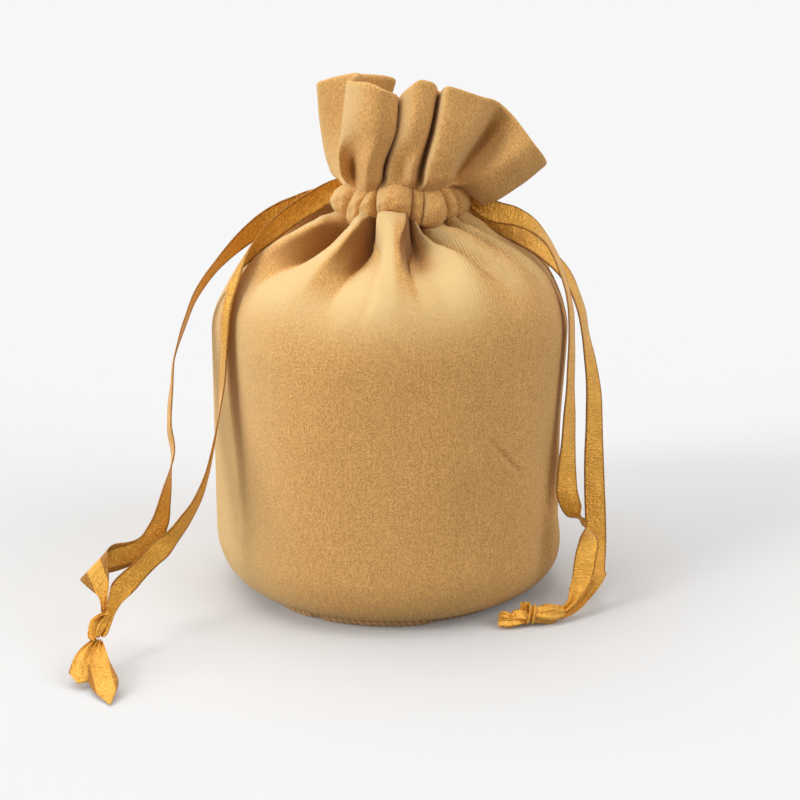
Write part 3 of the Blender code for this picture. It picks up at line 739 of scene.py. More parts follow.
def fold_height(share: Array, degrees: Array) -> Array:
    """Height of the gathered folds, from 0 in the valleys to 1 on the ridges.

    Args:
        share: shares of the way up the shoulder, as a column.
        degrees: angles as a row.

    Returns:
        Heights on the grid of both. Between two fold lines the height goes half as a smooth step and half
        as a quarter wave, so ridges are round and valleys come close to a sharp crease.
    """
    table = np.array(FOLD_LINES, float)
    here = through(share[:, 0], FOLD_SHARES, table[:, 0].T)
    here = np.concatenate([here, here[:, :1] + 360.0], axis=1)[:, None, :]
    levels = through(share[:, 0], FOLD_SHARES, table[:, 1].T)
    levels = np.concatenate([levels, levels[:, :1]], axis=1)[:, None, :]
    turned = ((degrees - here[..., 0]) % 360.0 + here[..., 0])[..., None]
    u = (turned - here[..., :-1]) / (here[..., 1:] - here[..., :-1])
    inside = (u >= 0.0) & (u < 1.0)
    u = np.clip(u, 0.0, 1.0)
    first, last = levels[..., :-1], levels[..., 1:]
    wave = np.where(first > last, 1.0 - np.cos(u * math.pi / 2), np.sin(u * math.pi / 2))
    step = 0.5 * u * u * (3.0 - 2.0 * u) + 0.5 * wave
    return np.where(inside, first + (last - first) * step, 0.0).sum(axis=-1)


# How far a ridge stands out and a valley sinks: share of the shoulder, then radius and height in millimetres
RIDGE_LIFT = (
    (0.0, 0.0, 0.0), (0.15, 0.2, 0.1), (0.3, 0.7, 0.5), (0.45, 1.1, 1.1), (0.6, 1.4, 2.0), (0.75, 1.4, 3.0),
    (0.88, 1.9, 3.9), (0.95, 2.5, 3.6), (1.0, 2.8, 1.3),
)
VALLEY_SINK = (
    (0.0, 0.0, 0.0), (0.2, -0.1, -0.1), (0.38, -0.5, -0.6), (0.55, -1.1, -1.9), (0.7, -1.6, -3.8),
    (0.82, -2.2, -5.2), (0.92, -3.0, -5.8), (0.97, -3.0, -4.2), (1.0, -1.4, -0.3),
)

# Heights of the two stitch rows round the neck: angle, lower row and upper row in millimetres
STITCH_ROWS = (
    (-90, 115.4, 122.6), (-74, 114.8, 123.2), (-60, 113.2, 123.6), (-51, 111.9, 123.2), (-43, 113.0, 122.8),
    (-36, 116.2, 122.6), (-25, 115.2, 123.8), (-18, 116.9, 124.8), (-2, 117.0, 125.8), (6, 116.2, 124.8),
    (13, 114.0, 124.0), (20, 113.2, 123.4), (27, 112.6, 123.4), (42, 114.2, 123.6), (60, 114.4, 123.4),
    (90, 114.6, 122.4), (130, 115.6, 124.0), (180, 116.0, 124.6), (225, 115.8, 124.2),
)


def stitch_rows(angle: Array) -> tuple[Array, Array]:
    """Heights of the lower and the upper stitch row.

    Args:
        angle: angles in radians.

    Returns:
        Two arrays of heights in metres, smooth round the neck.
    """
    table = np.array(STITCH_ROWS)
    share = ((np.degrees(angle) + 90.0) / 360.0) % 1.0
    rows = round_loop(share, (table[:, 0] + 90.0) / 360.0, table[:, 1:]) * MM
    return rows[..., 0], rows[..., 1]


@dataclass(frozen=True)
class Crease:
    """A sharp line pressed into the velvet of the wall.

    Attributes:
        marks: angle in degrees and height in millimetres of points along it.
        depth: its depth in millimetres.
        width: half its width in millimetres.
    """

    marks: tuple[Row, ...]
    depth: float
    width: float

    def sink(self, degrees: Array, z: Array) -> Array:
        """Depth of the crease on a grid of angles and heights.

        Args:
            degrees: angles as a row.
            z: heights in millimetres as a column.

        Returns:
            Depths in millimetres, greatest on the line between the marks and fading to its ends.
        """
        marks = np.array(self.marks) * np.array([MM_PER_DEGREE, 1.0])
        here = joined(degrees * MM_PER_DEGREE, z)
        best = np.full(here.shape[:2], 1e9)
        fade = np.zeros(here.shape[:2])
        for k in range(len(marks) - 1):
            run = marks[k + 1] - marks[k]
            t = np.clip(((here - marks[k]) @ run) / (run @ run), 0.0, 1.0)
            gap = np.linalg.norm(here - marks[k] - t[..., None] * run, axis=-1)
            share = (k + t) / (len(marks) - 1)
            fade = np.where(gap < best, np.sin(math.pi * np.clip(share, 0.04, 0.96)) ** 0.6, fade)
            best = np.minimum(best, gap)
        away = best / self.width
        return self.depth * fade * (bell(away, 0.0, 1.0) - 0.25 * bell(away, 2.2, 1.0))


CREASES = (
    Crease(((31, 58), (34, 55), (38, 51), (43, 46.6), (44, 43.4)), 0.75, 0.75),
    Crease(((-7, 92), (3, 84), (15, 73)), 0.28, 0.9),
    Crease(((-39, 85), (-35, 80), (-33, 75), (-29, 70.5), (-27, 59)), 0.30, 1.0),
)


@dataclass(frozen=True)
class Dent:
    """A long soft dent or bulge of the wall.

    Attributes:
        push: how far its middle stands out in millimetres, below 0 for a dent.
        angle: angle of its middle in degrees.
        spread: half its width in degrees.
        foot: heights between which it sets in, in millimetres.
        head: heights between which it fades out, in millimetres.
    """

    push: float
    angle: float
    spread: float
    foot: Row
    head: Row

    def offset(self, degrees: Array, z: Array) -> Array:
        """How far it moves the wall out at angles and at heights in millimetres."""
        tall = ease(*self.foot, z) * (1.0 - ease(*self.head, z))
        return self.push * bell(degrees, self.angle, self.spread) * tall


DENTS = (
    Dent(-1.5, 60, 5.5, (4, 16), (44, 62)),
    Dent(0.5, 72, 6.0, (6, 20), (40, 60)),
    Dent(-0.9, -57, 6.5, (34, 55), (80, 92)),
    Dent(-0.5, 25, 8.0, (16, 30), (40, 52)),
    Dent(-3.0, 88, 24.0, (80, 96), (110, 116)),
    Dent(-2.0, -88, 18.0, (82, 97), (108, 115)),
    Dent(-2.0, 272, 18.0, (82, 97), (108, 115)),
    Dent(-1.04, 84, 24.0, (6, 20), (82, 96)),
    Dent(-1.56, 84, 24.0, (6, 20), (45, 82)),
)

# Round soft spots: push in millimetres, angle and spread in degrees, height and its spread in millimetres
SPOTS = ((0.5, -22, 16.0, 60.0, 24.0), (-0.8, 150, 9.0, 45.0, 22.0), (-0.7, 222, 8.0, 52.0, 20.0))

NECK_SPREAD = 1.10  # the drawn neck is wider from side to side than from front to back


@dataclass
class BagWall:
    """The velvet wall: rounded foot, full straight side and a shoulder gathered in pleats.

    Attributes:
        body_radius: radius of the straight side.
        foot_radius: radius where the wall turns under at the base.
        foot_z: height of that turned edge.
        corner_height: height where the rounded foot meets the straight side.
        shoulder_z: height where the shoulder starts to turn in.
        shoulder_rise: how far the shoulder's curve heads straight up at its start.
        shoulder_run: how far in from the side its curve heads for the neck.
        shoulder_fall: how far below the neck that is.
        neck_z: height of the lower stitch row.
        neck_radius: radius of the gathered cloth at that row.
        neck_shift: how far the neck stands to the right of the axis.
        lip: how far the edge at the neck turns in.
        lip_rise: how far that edge rises.
        cloth: thickness of the velvet.
        front_columns: columns on the front half, closer together than behind.
        back_columns: columns on the back half.
    """

    body_radius: float = BODY_RADIUS
    foot_radius: float = 0.0432
    foot_z: float = 0.0022
    corner_height: float = 0.018
    shoulder_z: float = 0.078
    shoulder_rise: float = 0.020
    shoulder_run: float = 0.010
    shoulder_fall: float = 0.0105
    neck_z: float = 0.1160
    neck_radius: float = 0.0168
    neck_shift: float = NECK_SHIFT
    lip: float = 0.0035
    lip_rise: float = 0.0006
    cloth: float = 0.0012
    front_columns: int = 272
    back_columns: int = 92

    def angles(self) -> Array:
        """Angles of the columns in radians, once round from the back."""
        half = math.pi / 2
        front = np.linspace(-half, half, self.front_columns, endpoint=False)
        back = np.linspace(half, 3 * half, self.back_columns, endpoint=False)
        return np.concatenate([front, back])

    def profile(self) -> tuple[Array, Array, Array]:
        """The wall's section from the turned-in foot to the inside of the neck.

        Returns:
            Radius, height and share of the way up the shoulder, row by row. The foot is a quarter ellipse,
            the side is straight, and the shoulder is a cubic that leaves the side upright and reaches the
            neck nearly level.
        """
        quarter = np.linspace(0.0, math.pi / 2, 26)
        foot_r = self.foot_radius + (self.body_radius - self.foot_radius) * np.sin(quarter)
        foot_z = self.corner_height - (self.corner_height - self.foot_z) * np.cos(quarter)
        side_z = np.linspace(self.corner_height, self.shoulder_z, 84)[1:-1]
        side_r = np.full(len(side_z), self.body_radius)
        t = np.linspace(0.0, 1.0, 96)
        weights = np.stack([(1 - t) ** 3, 3 * t * (1 - t) ** 2, 3 * t * t * (1 - t), t**3], axis=1)
        top = weights @ np.array([
            (self.body_radius, self.shoulder_z),
            (self.body_radius, self.shoulder_z + self.shoulder_rise),
            (self.body_radius - self.shoulder_run, self.neck_z - self.shoulder_fall),
            (self.neck_radius, self.neck_z),
        ])
        turned = np.linspace(0.0, 1.0, 6)[1:]
        under_r, under_z = (0.0405, 0.0420), (0.0012, 0.0014)
        radius = np.concatenate([under_r, foot_r, side_r, top[:, 0], self.neck_radius - self.lip * turned])
        z = np.concatenate([under_z, foot_z, side_z, top[:, 1], self.neck_z + self.lip_rise * turned])
        share = np.concatenate([np.zeros(len(under_r) + len(foot_r) + len(side_z)), t, np.ones(len(turned))])
        return radius, z, share

    def pleats(self, share: Array, degrees: Array) -> tuple[Array, Array]:
        """How far the gathered shoulder stands off its plain section.

        Args:
            share: share of the way up the shoulder, as a column.
            degrees: angles as a row.

        Returns:
            Offsets of radius and height in metres. A full ridge takes the ridge's lift and a bare valley
            the valley's sink.
        """
        total = fold_height(share, degrees)
        ridge, valley = np.array(RIDGE_LIFT), np.array(VALLEY_SINK)
        lift = through(share[:, 0], ridge[:, 0], ridge[:, 1:])[:, None]
        sink = through(share[:, 0], valley[:, 0], valley[:, 1:])[:, None]
        offset = (total[..., None] * lift + np.maximum(1.0 - total[..., None], 0.0) * sink) * MM
        low, _ = stitch_rows(np.radians(degrees))
        climb = (low - self.neck_z) * ease(0.72, 1.0, share)
        return offset[..., 0], offset[..., 1] + climb

    def paint_light_and_shade(self) -> Array:
        """Painted light and shade of the wall: up to 1 for painted shade in a fold and on its right face,
        below 0 for painted highlights.

        Returns:
            Rows by columns. A face counts as turned away from the light where the fold height falls to the
            right. Painted highlights lie on the faces that rise to the right, the crown of the shoulder and
            the wall's left side, which face the lights.
        """
        _, z, share = self.profile()
        z, share, degrees = z[:, None], share[:, None], np.degrees(self.angles())[None, :]
        height = fold_height(share, degrees)
        step = 1.5
        fall = (fold_height(share, degrees - step) - fold_height(share, degrees + step)) / (2.0 * step)
        # painted shade on fold faces turned from the light on the left, painted highlight on faces turned to
        # it, painted shade in the valleys
        away = 0.92 * ease(-0.005, 0.090, fall) * ease(0.34, 0.86, share)
        rising = 0.45 * ease(0.0, 0.050, -fall) * ease(0.15, 0.60, share)
        valley = 0.85 * (1.0 - ease(0.0, 0.55, height)) * ease(0.60, 0.98, share)
        dark = np.minimum(away + valley, 1.0)
        # painted highlights on the wall's left side, which faces the key light, and on the shoulder's crown
        # under the top light
        left = np.maximum(1.0 - ease(-66.0, -10.0, degrees), ease(205.0, 262.0, degrees))
        crown = 0.80 * ease(0.074, 0.106, z) * (1.0 - 0.90 * ease(12.0, 52.0, degrees))
        painted_light_share = np.maximum(crown, 0.62 * left) + rising
        return dark - np.minimum(painted_light_share, 1.0) * (1.0 - dark) ** 2

    def dents(self, degrees: Array, z: Array) -> Array:
        """Slack of the wall: how far its dents, soft spots and creases move it out.

        Args:
            degrees: angles as a row.
            z: heights in metres as a column.

        Returns:
            Offsets in metres on the grid of both.
        """
        z = z / MM
        soft = sum(dent.offset(degrees, z) for dent in DENTS)
        for push, angle, spread, height, tall in SPOTS:
            soft = soft + push * bell(degrees, angle, spread) * bell(z, height, tall)
        return (soft - sum(crease.sink(degrees, z) for crease in CREASES)) * MM

    def points(self) -> tuple[Array, Array]:
        """The outer face of the wall and its cloth coordinates.

        Returns:
            Points and cloth coordinates, rows by columns by 3. Each point is the section's point, pushed
            along the section's normal by the dents and moved by the pleats. The cloth coordinates are a
            circle of the body's size and the length along the section.
        """
        radius, z, share = self.profile()
        angle = self.angles()[None, :]
        slope_r, slope_z = np.gradient(radius), np.gradient(z)
        size = np.hypot(slope_r, slope_z)
        out_r, out_z = slope_z / size, -slope_r / size
        degrees = np.degrees(angle)
        lift_r, lift_z = self.pleats(share[:, None], degrees)
        push = self.dents(degrees, z[:, None])
        centre = self.neck_shift * ease(self.shoulder_z, self.neck_z, z)[:, None]
        away = radius[:, None] + push * out_r[:, None] + lift_r
        wide = 1.0 + (NECK_SPREAD - 1.0) * ease(0.75, 1.0, share)[:, None]
        points = polar(angle, away, z[:, None] + push * out_z[:, None] + lift_z, centre)
        points[..., 0] = centre + (points[..., 0] - centre) * wide
        length = walked(np.stack([radius, z], axis=1))[:, None]
        return points, polar(angle, self.body_radius, length, 0.0)

    def build(self, finishes: Finishes) -> Piece:
        """Builds the wall as a closed shell: out, over the neck's edge and back down inside.

        Args:
            finishes: the bag's materials.

        Returns:
            The wall, riding on the bag.
        """
        points, cloth = self.points()
        inward = points - normals(points) * self.cloth
        pick = np.unique(np.linspace(2, len(points) - 1, 26).astype(int))[::-1]
        shell, pattern = np.concatenate([points, inward[pick]]), np.concatenate([cloth, cloth[pick]])
        plain = np.zeros((len(pick), points.shape[1]))
        patch = Patch(shell, pattern, wrap_rows=True, painted_shading=np.concatenate([self.paint_light_and_shade(), plain]))
        piece = bag_piece("velvet_wall", [patch], finishes.velvet, ("front_panel", "back_panel"))
        return piece


# Puffs of the channel: angle of the valley on their left at the lower and the upper row, then their rise in
# millimetres
PUFFS = (
    (-92, -88, 3.6), (-64, -51, 2.0), (-43, -34, 3.2), (-22, -24, 5.0), (7.6, 11, 2.0), (17.5, 23, 4.0),
    (45, 40, 2.6), (61, 55, 3.0), (90, 90, 3.4), (112, 112, 3.4), (136, 135, 2.8), (158, 158, 3.2),
    (180, 180, 2.8), (203, 203, 3.4), (226, 225, 2.8), (248, 248, 3.2),
)

# Ruffle folds in millimetres: angle at the stitch row, then a low, a middle and a hem point
RUFFLE_FOLDS = (
    (-88, (-18.6, 4.0, 127.8), (-21.0, 5.5, 139.2), (-21.9, 6.0, 150.9)),
    (-72, (-13.6, -4.0, 128.6), (-11.3, -2.0, 140.6), (-10.6, -0.5, 154.5)),
    (-59, (-14.8, -12.3, 130.6), (-14.2, -11.8, 140.6), (-12.6, -10.7, 153.6)),
    (-48, (-10.6, -9.2, 128.6), (-9.6, -17.2, 140.8), (-7.0, -17.8, 154.0)),
    (-35, (-6.8, -19.3, 129.8), (-3.6, -21.0, 141.6), (-2.0, -19.5, 152.4)),
    (-26, (-2.8, -16.5, 130.5), (0.9, -18.0, 140.5), (1.8, -16.5, 150.6)),
    (-19, (-2.2, -10.5, 128.2), (0.2, -10.0, 139.6), (1.6, -10.0, 148.6)),
    (-10, (0.0, -17.3, 130.0), (2.6, -17.6, 141.4), (4.4, -16.3, 152.4)),
    (-1, (3.2, -16.4, 129.4), (6.2, -20.4, 141.8), (8.0, -17.6, 154.8)),
    (8, (6.0, -18.6, 129.8), (9.9, -18.8, 141.5), (11.8, -16.3, 154.0)),
    (14, (8.6, -11.0, 128.4), (11.4, -10.0, 140.2), (13.7, -9.5, 150.4)),
    (21, (10.8, -19.2, 130.0), (14.2, -19.6, 142.2), (16.4, -17.0, 153.0)),
    (34, (16.4, -18.4, 130.4), (21.1, -17.3, 140.0), (25.4, -12.4, 149.7)),
    (46, (19.6, -8.5, 127.4), (26.4, -5.0, 135.6), (33.0, -5.5, 144.7)),
    (60, (24.6, -11.0, 125.6), (33.3, -11.0, 131.7), (40.4, -8.5, 136.3)),
    (86, (28.0, -3.2, 117.4), (37.6, -1.4, 122.2), (45.2, 0.0, 128.0)),
    (104, (22.5, 5.5, 124.6), (30.0, 6.5, 127.8), (37.5, 7.5, 131.5)),
    (122, (21.0, 13.0, 128.8), (27.0, 15.5, 132.6), (33.5, 16.5, 135.0)),
    (138, (16.0, 11.0, 129.4), (20.5, 12.0, 136.4), (25.5, 13.0, 143.0)),
    (154, (13.2, 17.2, 129.6), (17.5, 20.5, 137.0), (22.0, 22.0, 143.0)),
    (170, (8.2, 13.0, 129.8), (10.5, 14.5, 138.0), (13.0, 16.5, 144.0)),
    (186, (5.0, 18.4, 129.8), (7.0, 22.5, 137.5), (8.6, 25.0, 143.0)),
    (203, (-1.5, 14.0, 130.0), (-0.5, 16.5, 138.5), (1.0, 19.0, 144.4)),
    (221, (-7.2, 16.2, 130.0), (-7.5, 20.0, 139.0), (-7.0, 22.0, 147.0)),
    (238, (-7.2, 12.0, 130.6), (-3.5, 13.3, 141.6), (-0.4, 14.0, 151.2)),
    (255, (-13.6, 8.3, 130.0), (-14.2, 9.3, 141.5), (-13.8, 10.0, 152.6)),
)


@dataclass
class GatheredNeck:
    """The drawstring channel, drawn up in puffs between two stitch rows, and the ruffled header above it.

    Attributes:
        low_radius: radius of the cloth in the valleys of the lower stitch row.
        high_radius: radius of the cloth in the valleys of the upper stitch row.
        swell: how much further out the middle of the channel stands.
        inner_radius: radius of the channel's inner ply.
        ply: thickness of the turned header.
        shift: how far the neck stands to the right of the axis.
        closed_share: share of its depth that the neck keeps when it is drawn shut; not used.
        columns: columns round the neck.
        stitch_count: stitches in each row.
        stitch_share: length of a stitch, as a share of the way to the next.
        stitch_radius: radius of the thread.
    """

    low_radius: float = 0.0158
    high_radius: float = 0.0147
    swell: float = 0.0006
    inner_radius: float = 0.0124
    ply: float = 0.0019
    shift: float = NECK_SHIFT
    closed_share: float = 0.81
    columns: int = 680
    stitch_count: int = 56
    stitch_share: float = 0.62
    stitch_radius: float = 0.00022

    def ring(self, angle: Array, share: Array) -> Array:
        """Points of the channel's outer ply.

        Args:
            angle: angles in radians, as a row.
            share: share of the way from the lower to the upper stitch row, as a column.

        Returns:
            Points on the grid of both. Between two valleys at offset x from the middle, from -1 to 1, a puff
            rises as the square root of 1 - x * x, and it swells between the stitch rows. Two crossed sine
            waves crumple it slightly.
        """
        table = np.array(PUFFS + ((PUFFS[0][0] + 360, PUFFS[0][1] + 360, 0.0),))
        edges = np.radians(table[:, 0] + (table[:, 1] - table[:, 0]) * share)[:, None, :]
        left, right = edges[..., :-1], edges[..., 1:]
        turned = ((angle - edges[..., 0]) % (2 * math.pi) + edges[..., 0])[..., None]
        x = 2.0 * (turned - left) / (right - left) - 1.0
        arch = np.sqrt(np.maximum(1.0 - x * x, 0.0)) * (np.abs(x) < 1.0)
        middle = np.maximum(np.sin(math.pi * share), 0.0) ** 0.6
        rise = (arch * table[:-1, 2] * MM).sum(axis=-1) * (0.40 + 0.60 * middle)
        rise += 0.00022 * np.sin(13.0 * angle + 7.0 * share) * np.sin(31.0 * angle - 9.0 * share) * middle
        radius = self.low_radius + (self.high_radius - self.low_radius) * share + self.swell * middle + rise
        low, high = stitch_rows(angle)
        points = polar(angle, radius, low + (high - low) * share, self.shift)
        points[..., 0] = self.shift + (points[..., 0] - self.shift) * NECK_SPREAD
        return points

    def folds(self) -> tuple[Array, Array]:
        """Lines round the ruffle and the angle where each column meets the stitch row.

        Returns:
            Three closed lines (low, middle and hem) of columns by 3, and the columns' angles in radians. The
            lines are loops through the folds' points, with columns evenly spaced along the middle line.
        """
        bases = np.array([row[0] for row in RUFFLE_FOLDS], float)
        levels = np.array([row[1:] for row in RUFFLE_FOLDS], float) * MM
        middle = levels[:, 1]
        steps = np.linalg.norm(np.roll(middle, -1, axis=0) - middle, axis=1)
        knots = np.concatenate([[0.0], np.cumsum(steps)[:-1]]) / steps.sum()
        fine = np.linspace(0.0, 1.0, 4001)
        line = round_loop(fine, knots, middle)
        far = walked(line)
        t = np.interp(np.arange(self.columns) / self.columns, far / far[-1], fine)
        lines = np.stack([round_loop(t, knots, levels[:, i]) for i in range(3)])
        around = np.concatenate([bases, [bases[0] + 360.0]])
        angles = np.radians(np.interp(t, np.concatenate([knots, [1.0]]), around))
        return lines, angles

    def patch(self) -> Patch:
        """The neck as one closed shell.

        Returns:
            Rows that climb the channel and the ruffle outside, turn over the hem in a half circle, come down
            inside and close under the channel. The ruffle's folds swell out just above the stitch row.
        """
        lines, angle = self.folds()
        angle = angle[None, :]
        channel = self.ring(angle, np.linspace(0.0, 1.0, 24)[:, None])
        foot = channel[-1]
        climb = np.where(lines[0, :, 2] > foot[:, 2], 0.40, 0.95)
        out = np.full(len(climb), 0.66)
        swell = foot + (lines[0] - foot) * np.stack([out, out, climb], axis=1)
        way = np.linspace(0.0, 1.0, 50)
        shares = (0.0, 0.07, 0.20, 0.58, 1.0)
        ruffle = through(way, shares, np.concatenate([foot[None], swell[None], lines]))
        normal = normals(ruffle)
        up = unit(np.gradient(ruffle, axis=0)[-1])
        half = self.ply / 2
        turn = np.linspace(0.0, math.pi, 7)[1:-1, None, None]
        heart = ruffle[-1] - normal[-1] * half
        hem = heart + half * (normal[-1] * np.cos(turn) + up * np.sin(turn))
        low, high = stitch_rows(angle)
        inner_ring = polar(angle, self.inner_radius, high, self.shift)
        settle = ease(0.0, 0.24, way)[:, None, None]
        thick = self.ply * (0.45 + 0.55 * ease(0.25, 0.85, way))[:, None, None]
        inside = (inner_ring * (1 - settle) + (ruffle - normal * thick) * settle)[::-1][::2]
        drop = high + (low - high) * np.linspace(0.0, 1.0, 8)[1:, None]
        facing = polar(angle, self.inner_radius, drop, self.shift)
        outer = np.concatenate([channel, ruffle[1:]])
        points = np.concatenate([outer, hem, inside, facing])
        painted_shading = np.zeros(points.shape[:2])
        painted_shading[: len(outer)] = self.paint_light_and_shade(outer, angle)
        return Patch(points, points.copy(), wrap_rows=True, painted_shading=painted_shading)

    def paint_light_and_shade(self, outer: Array, angle: Array) -> Array:
        """Painted light and shade of the neck's outer face: up to 1 for painted shade in a crease and below 0
        for painted highlights on faces turned to the left, towards the light.

        Args:
            outer: points of the outer face, rows by columns by 3.
            angle: angles of the columns in radians, as a row.

        Returns:
            Rows by columns. A point lies in a crease by its distance behind the mean of its neighbours, and
            the front of the ruffle's second fold, turned from the light, gets painted shade.
        """
        normal = normals(outer)
        steps = (-14, -10, -6, 6, 10, 14)
        mean = sum(np.roll(outer, step, axis=1) for step in steps) / len(steps)
        # painted shade in creases, by their depth
        depth = ((mean - outer) * normal).sum(axis=-1)
        # painted shade on the front of the ruffle's second fold, turned from the light
        painted_shade_front = bell(np.degrees(angle), -36.0, 10.0) * ease(0.120, 0.128, outer[..., 2])
        dark = np.maximum(0.72 * ease(0.0002, 0.0022, depth), 0.26 * painted_shade_front)
        # painted highlight on faces turned to the left, towards the light
        pale = 0.72 * ease(0.05, 0.95, -normal[..., 0]) * (1.0 - 0.85 * painted_shade_front)
        return dark - pale * (1.0 - dark) ** 2

    def stitches(self) -> list[Patch]:
        """Short stitches in the creases of both rows: small capsules that follow the drawn-in cloth."""
        run = np.linspace(0.0, 1.0, 7)
        angle = stitch_angles(self.stitch_count, self.stitch_share, len(run))
        girth = self.stitch_radius * np.sin(np.clip(run, 0.02, 0.98) * math.pi) ** 0.4
        lines = self.ring(angle.reshape(1, -1), np.array([[0.0], [1.0]])).reshape(-1, len(run), 3)
        return [tube(line, girth, 6) for line in lines]

    def build(self, finishes: Finishes) -> list[Piece]:
        """Builds the neck and its stitches, each with its own copy of its mesh.

        Args:
            finishes: the bag's materials.

        Returns:
            The neck and the stitch rows.
        """
        halves = ("front", "back")
        plies = tuple(f"{half}_{ply}" for half in halves for ply in ("casing", "facing", "ruffle"))
        seams = tuple(f"{half}_{row}_stitching" for half in halves for row in ("lower", "upper"))
        neck = bag_piece("gathered_neck", [self.patch()], finishes.velvet, plies)
        rows = bag_piece("channel_stitches", self.stitches(), finishes.thread, seams, weld=True)
        for piece in (neck, rows):
            self.draw_in(piece)
        return [neck, rows]

    def draw_in(self, piece: Piece) -> None:
        """Gives a piece of the neck its own copy of its mesh."""
        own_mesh(piece)


def stitch_angles(count: int, share: float, points: int) -> Array:
    """Angles in radians along stitches round the bag, a row for each, over a share of the way to the next."""
    return 2 * math.pi * (np.arange(count)[:, None] + share * np.linspace(0.0, 1.0, points)) / count


def tube(line: Array, radius: Array, sides: int) -> Patch:
    """A round tube along a line, closed to a point at both ends.

    Args:
        line: points along the tube.
        radius: one radius for each point.
        sides: corners of its section.

    Returns:
        The tube, its section turned about the line.
    """
    along = unit(np.gradient(line, axis=0))
    lean = np.where(np.abs(along[:, 2:]) > 0.9, np.array([1.0, 0, 0]), np.array([0, 0, 1.0]))
    first = unit(np.cross(along, lean))
    second = np.cross(along, first)
    turn = once_round(sides)[None, :, None]
    ring = first[:, None] * np.cos(turn) + second[:, None] * np.sin(turn)
    points = capped(line)[:, None] + capped(ring) * np.pad(radius, 1)[:, None, None]
    length = np.repeat(capped(walked(line))[:, None], sides, axis=1)
    return Patch(points, joined(0.0, length, 0.0))


@dataclass
class BaseSeam:
    """The round base and the ribbed strip of its seam, which shows under the front of the wall.

    Attributes:
        strip_radius: outer radius of the strip where it shows.
        strip_width: width of the strip across the seam.
        strip_height: thickness of the strip.
        covered: how far the strip is drawn in where the wall covers it.
        notch: depth of the notch where the strip's ends meet.
        panel: thickness of the base cloth.
        gap: gap between the base cloth and the strip.
        columns: columns round the strip.
        disc_columns: columns round the base cloth.
        stitch_count: stitches of the seam.
        stitch_share: length of a stitch, as a share of the way to the next.
        stitch_radius: radius of the thread.
        stitch_inset: how far inside the strip's edge the stitches lie.
        stitch_z: height of the stitches.
    """

    strip_radius: float = 0.0440
    strip_width: float = 0.0036
    strip_height: float = 0.0022
    covered: float = 0.0018
    notch: float = 0.0011
    panel: float = 0.0012
    gap: float = 0.0006
    columns: int = 240
    disc_columns: int = 96
    stitch_count: int = 110
    stitch_share: float = 0.65
    stitch_radius: float = 0.00024
    stitch_inset: float = 0.0014
    stitch_z: float = 0.0026

    def strip(self) -> Patch:
        """The strip: a flattened ring section, drawn in where the wall covers it, with a notch in front."""
        angle = once_round(self.columns, -math.pi)[None, :]
        degrees = np.degrees(angle)
        shown = ease(-58, -40, degrees) * (1 - ease(10, 20, degrees))
        outer = self.strip_radius - self.covered * (1 - shown) - self.notch * bell(degrees, -29.5, 1.6)
        turn = once_round(14)[:, None]
        half, tall = self.strip_width / 2, self.strip_height / 2
        bow = np.sign(np.cos(turn)) * np.abs(np.cos(turn)) ** 0.6
        lift = np.sign(np.sin(turn)) * np.abs(np.sin(turn)) ** 0.6
        radius = outer - half + half * bow
        z = tall + tall * lift
        cloth = joined(z, angle * self.strip_radius + 0.7 * z, radius)
        return Patch(polar(angle, radius, z, 0.0), cloth, wrap_rows=True)

    def disc(self) -> Patch:
        """The base cloth: rings from the middle to the strip, flat below, with a rounded rim."""
        reach = self.strip_radius - self.strip_width - self.gap
        out = np.array([0.0, 0.25, 0.5, 0.75, 0.92, 0.985, 1.0, 0.985, 0.92, 0.6, 0.3, 0.0])[:, None] * reach
        low = self.panel * np.array([0.0, 0.0, 0.0, 0.0, 0.0, 0.12, 0.5, 0.88, 1.0, 1.0, 1.0, 1.0])[:, None]
        angle = once_round(self.disc_columns, -math.pi)[None, :]
        points = polar(angle, out, low, 0.0)
        return Patch(points, points.copy())

    def stitches(self) -> list[Patch]:
        """The seam's stitches, inside the foot of the wall."""
        angle = stitch_angles(self.stitch_count, self.stitch_share, 6)
        lines = polar(angle, self.strip_radius - self.stitch_inset, self.stitch_z, 0.0)
        return [tube(line, np.full(len(line), self.stitch_radius), 6) for line in lines]

    def build(self, finishes: Finishes) -> list[Piece]:
        """Builds the base's three pieces."""
        tape, velvet, thread = finishes.tape, finishes.velvet, finishes.thread
        return [
            bag_piece("base_seam_strip", [self.strip()], tape, ("base_seam_allowance",)),
            bag_piece("base_disc", [self.disc()], velvet, ("base_panel",), weld=True),
            bag_piece("base_stitches", self.stitches(), thread, ("base_stitching",), weld=True),
        ]


@dataclass
class SideSeams:
    """The threads that join the two halves of the wall, on the inside at both sides.

    Attributes:
        wall: the wall.
        inset: how far inside the wall's face the threads lie.
        radius: radius of the thread.
    """

    wall: BagWall
    inset: float = 0.0018
    radius: float = 0.00025

    def build(self, finishes: Finishes) -> list[Piece]:
        """Builds one thread for each side, along the wall's own column there.

        Args:
            finishes: the bag's materials.

        Returns:
            The two threads, riding on the bag.
        """
        points, _ = self.wall.points()
        pieces = []
        for side in Side:
            column = 0 if side is Side.LEFT else self.wall.front_columns
            line = points[8:-10, column]
            along = unit(np.gradient(line, axis=0))
            inward = joined(-along[:, 2], 0.0, along[:, 0]) * side.value
            thread = tube(line + inward * self.inset, np.full(len(line), self.radius), 8)
            label = side.name.lower()
            name, nodes = f"{label}_side_thread", (f"{label}_side_stitching",)
            pieces.append(bag_piece(name, [thread], finishes.thread, nodes, weld=True))
        return pieces


BAG_CENTRE = np.array([0.0, 0.0, 0.060])
RIBBON_WIDTH = 0.0064
RIBBON_THICKNESS = 0.00034


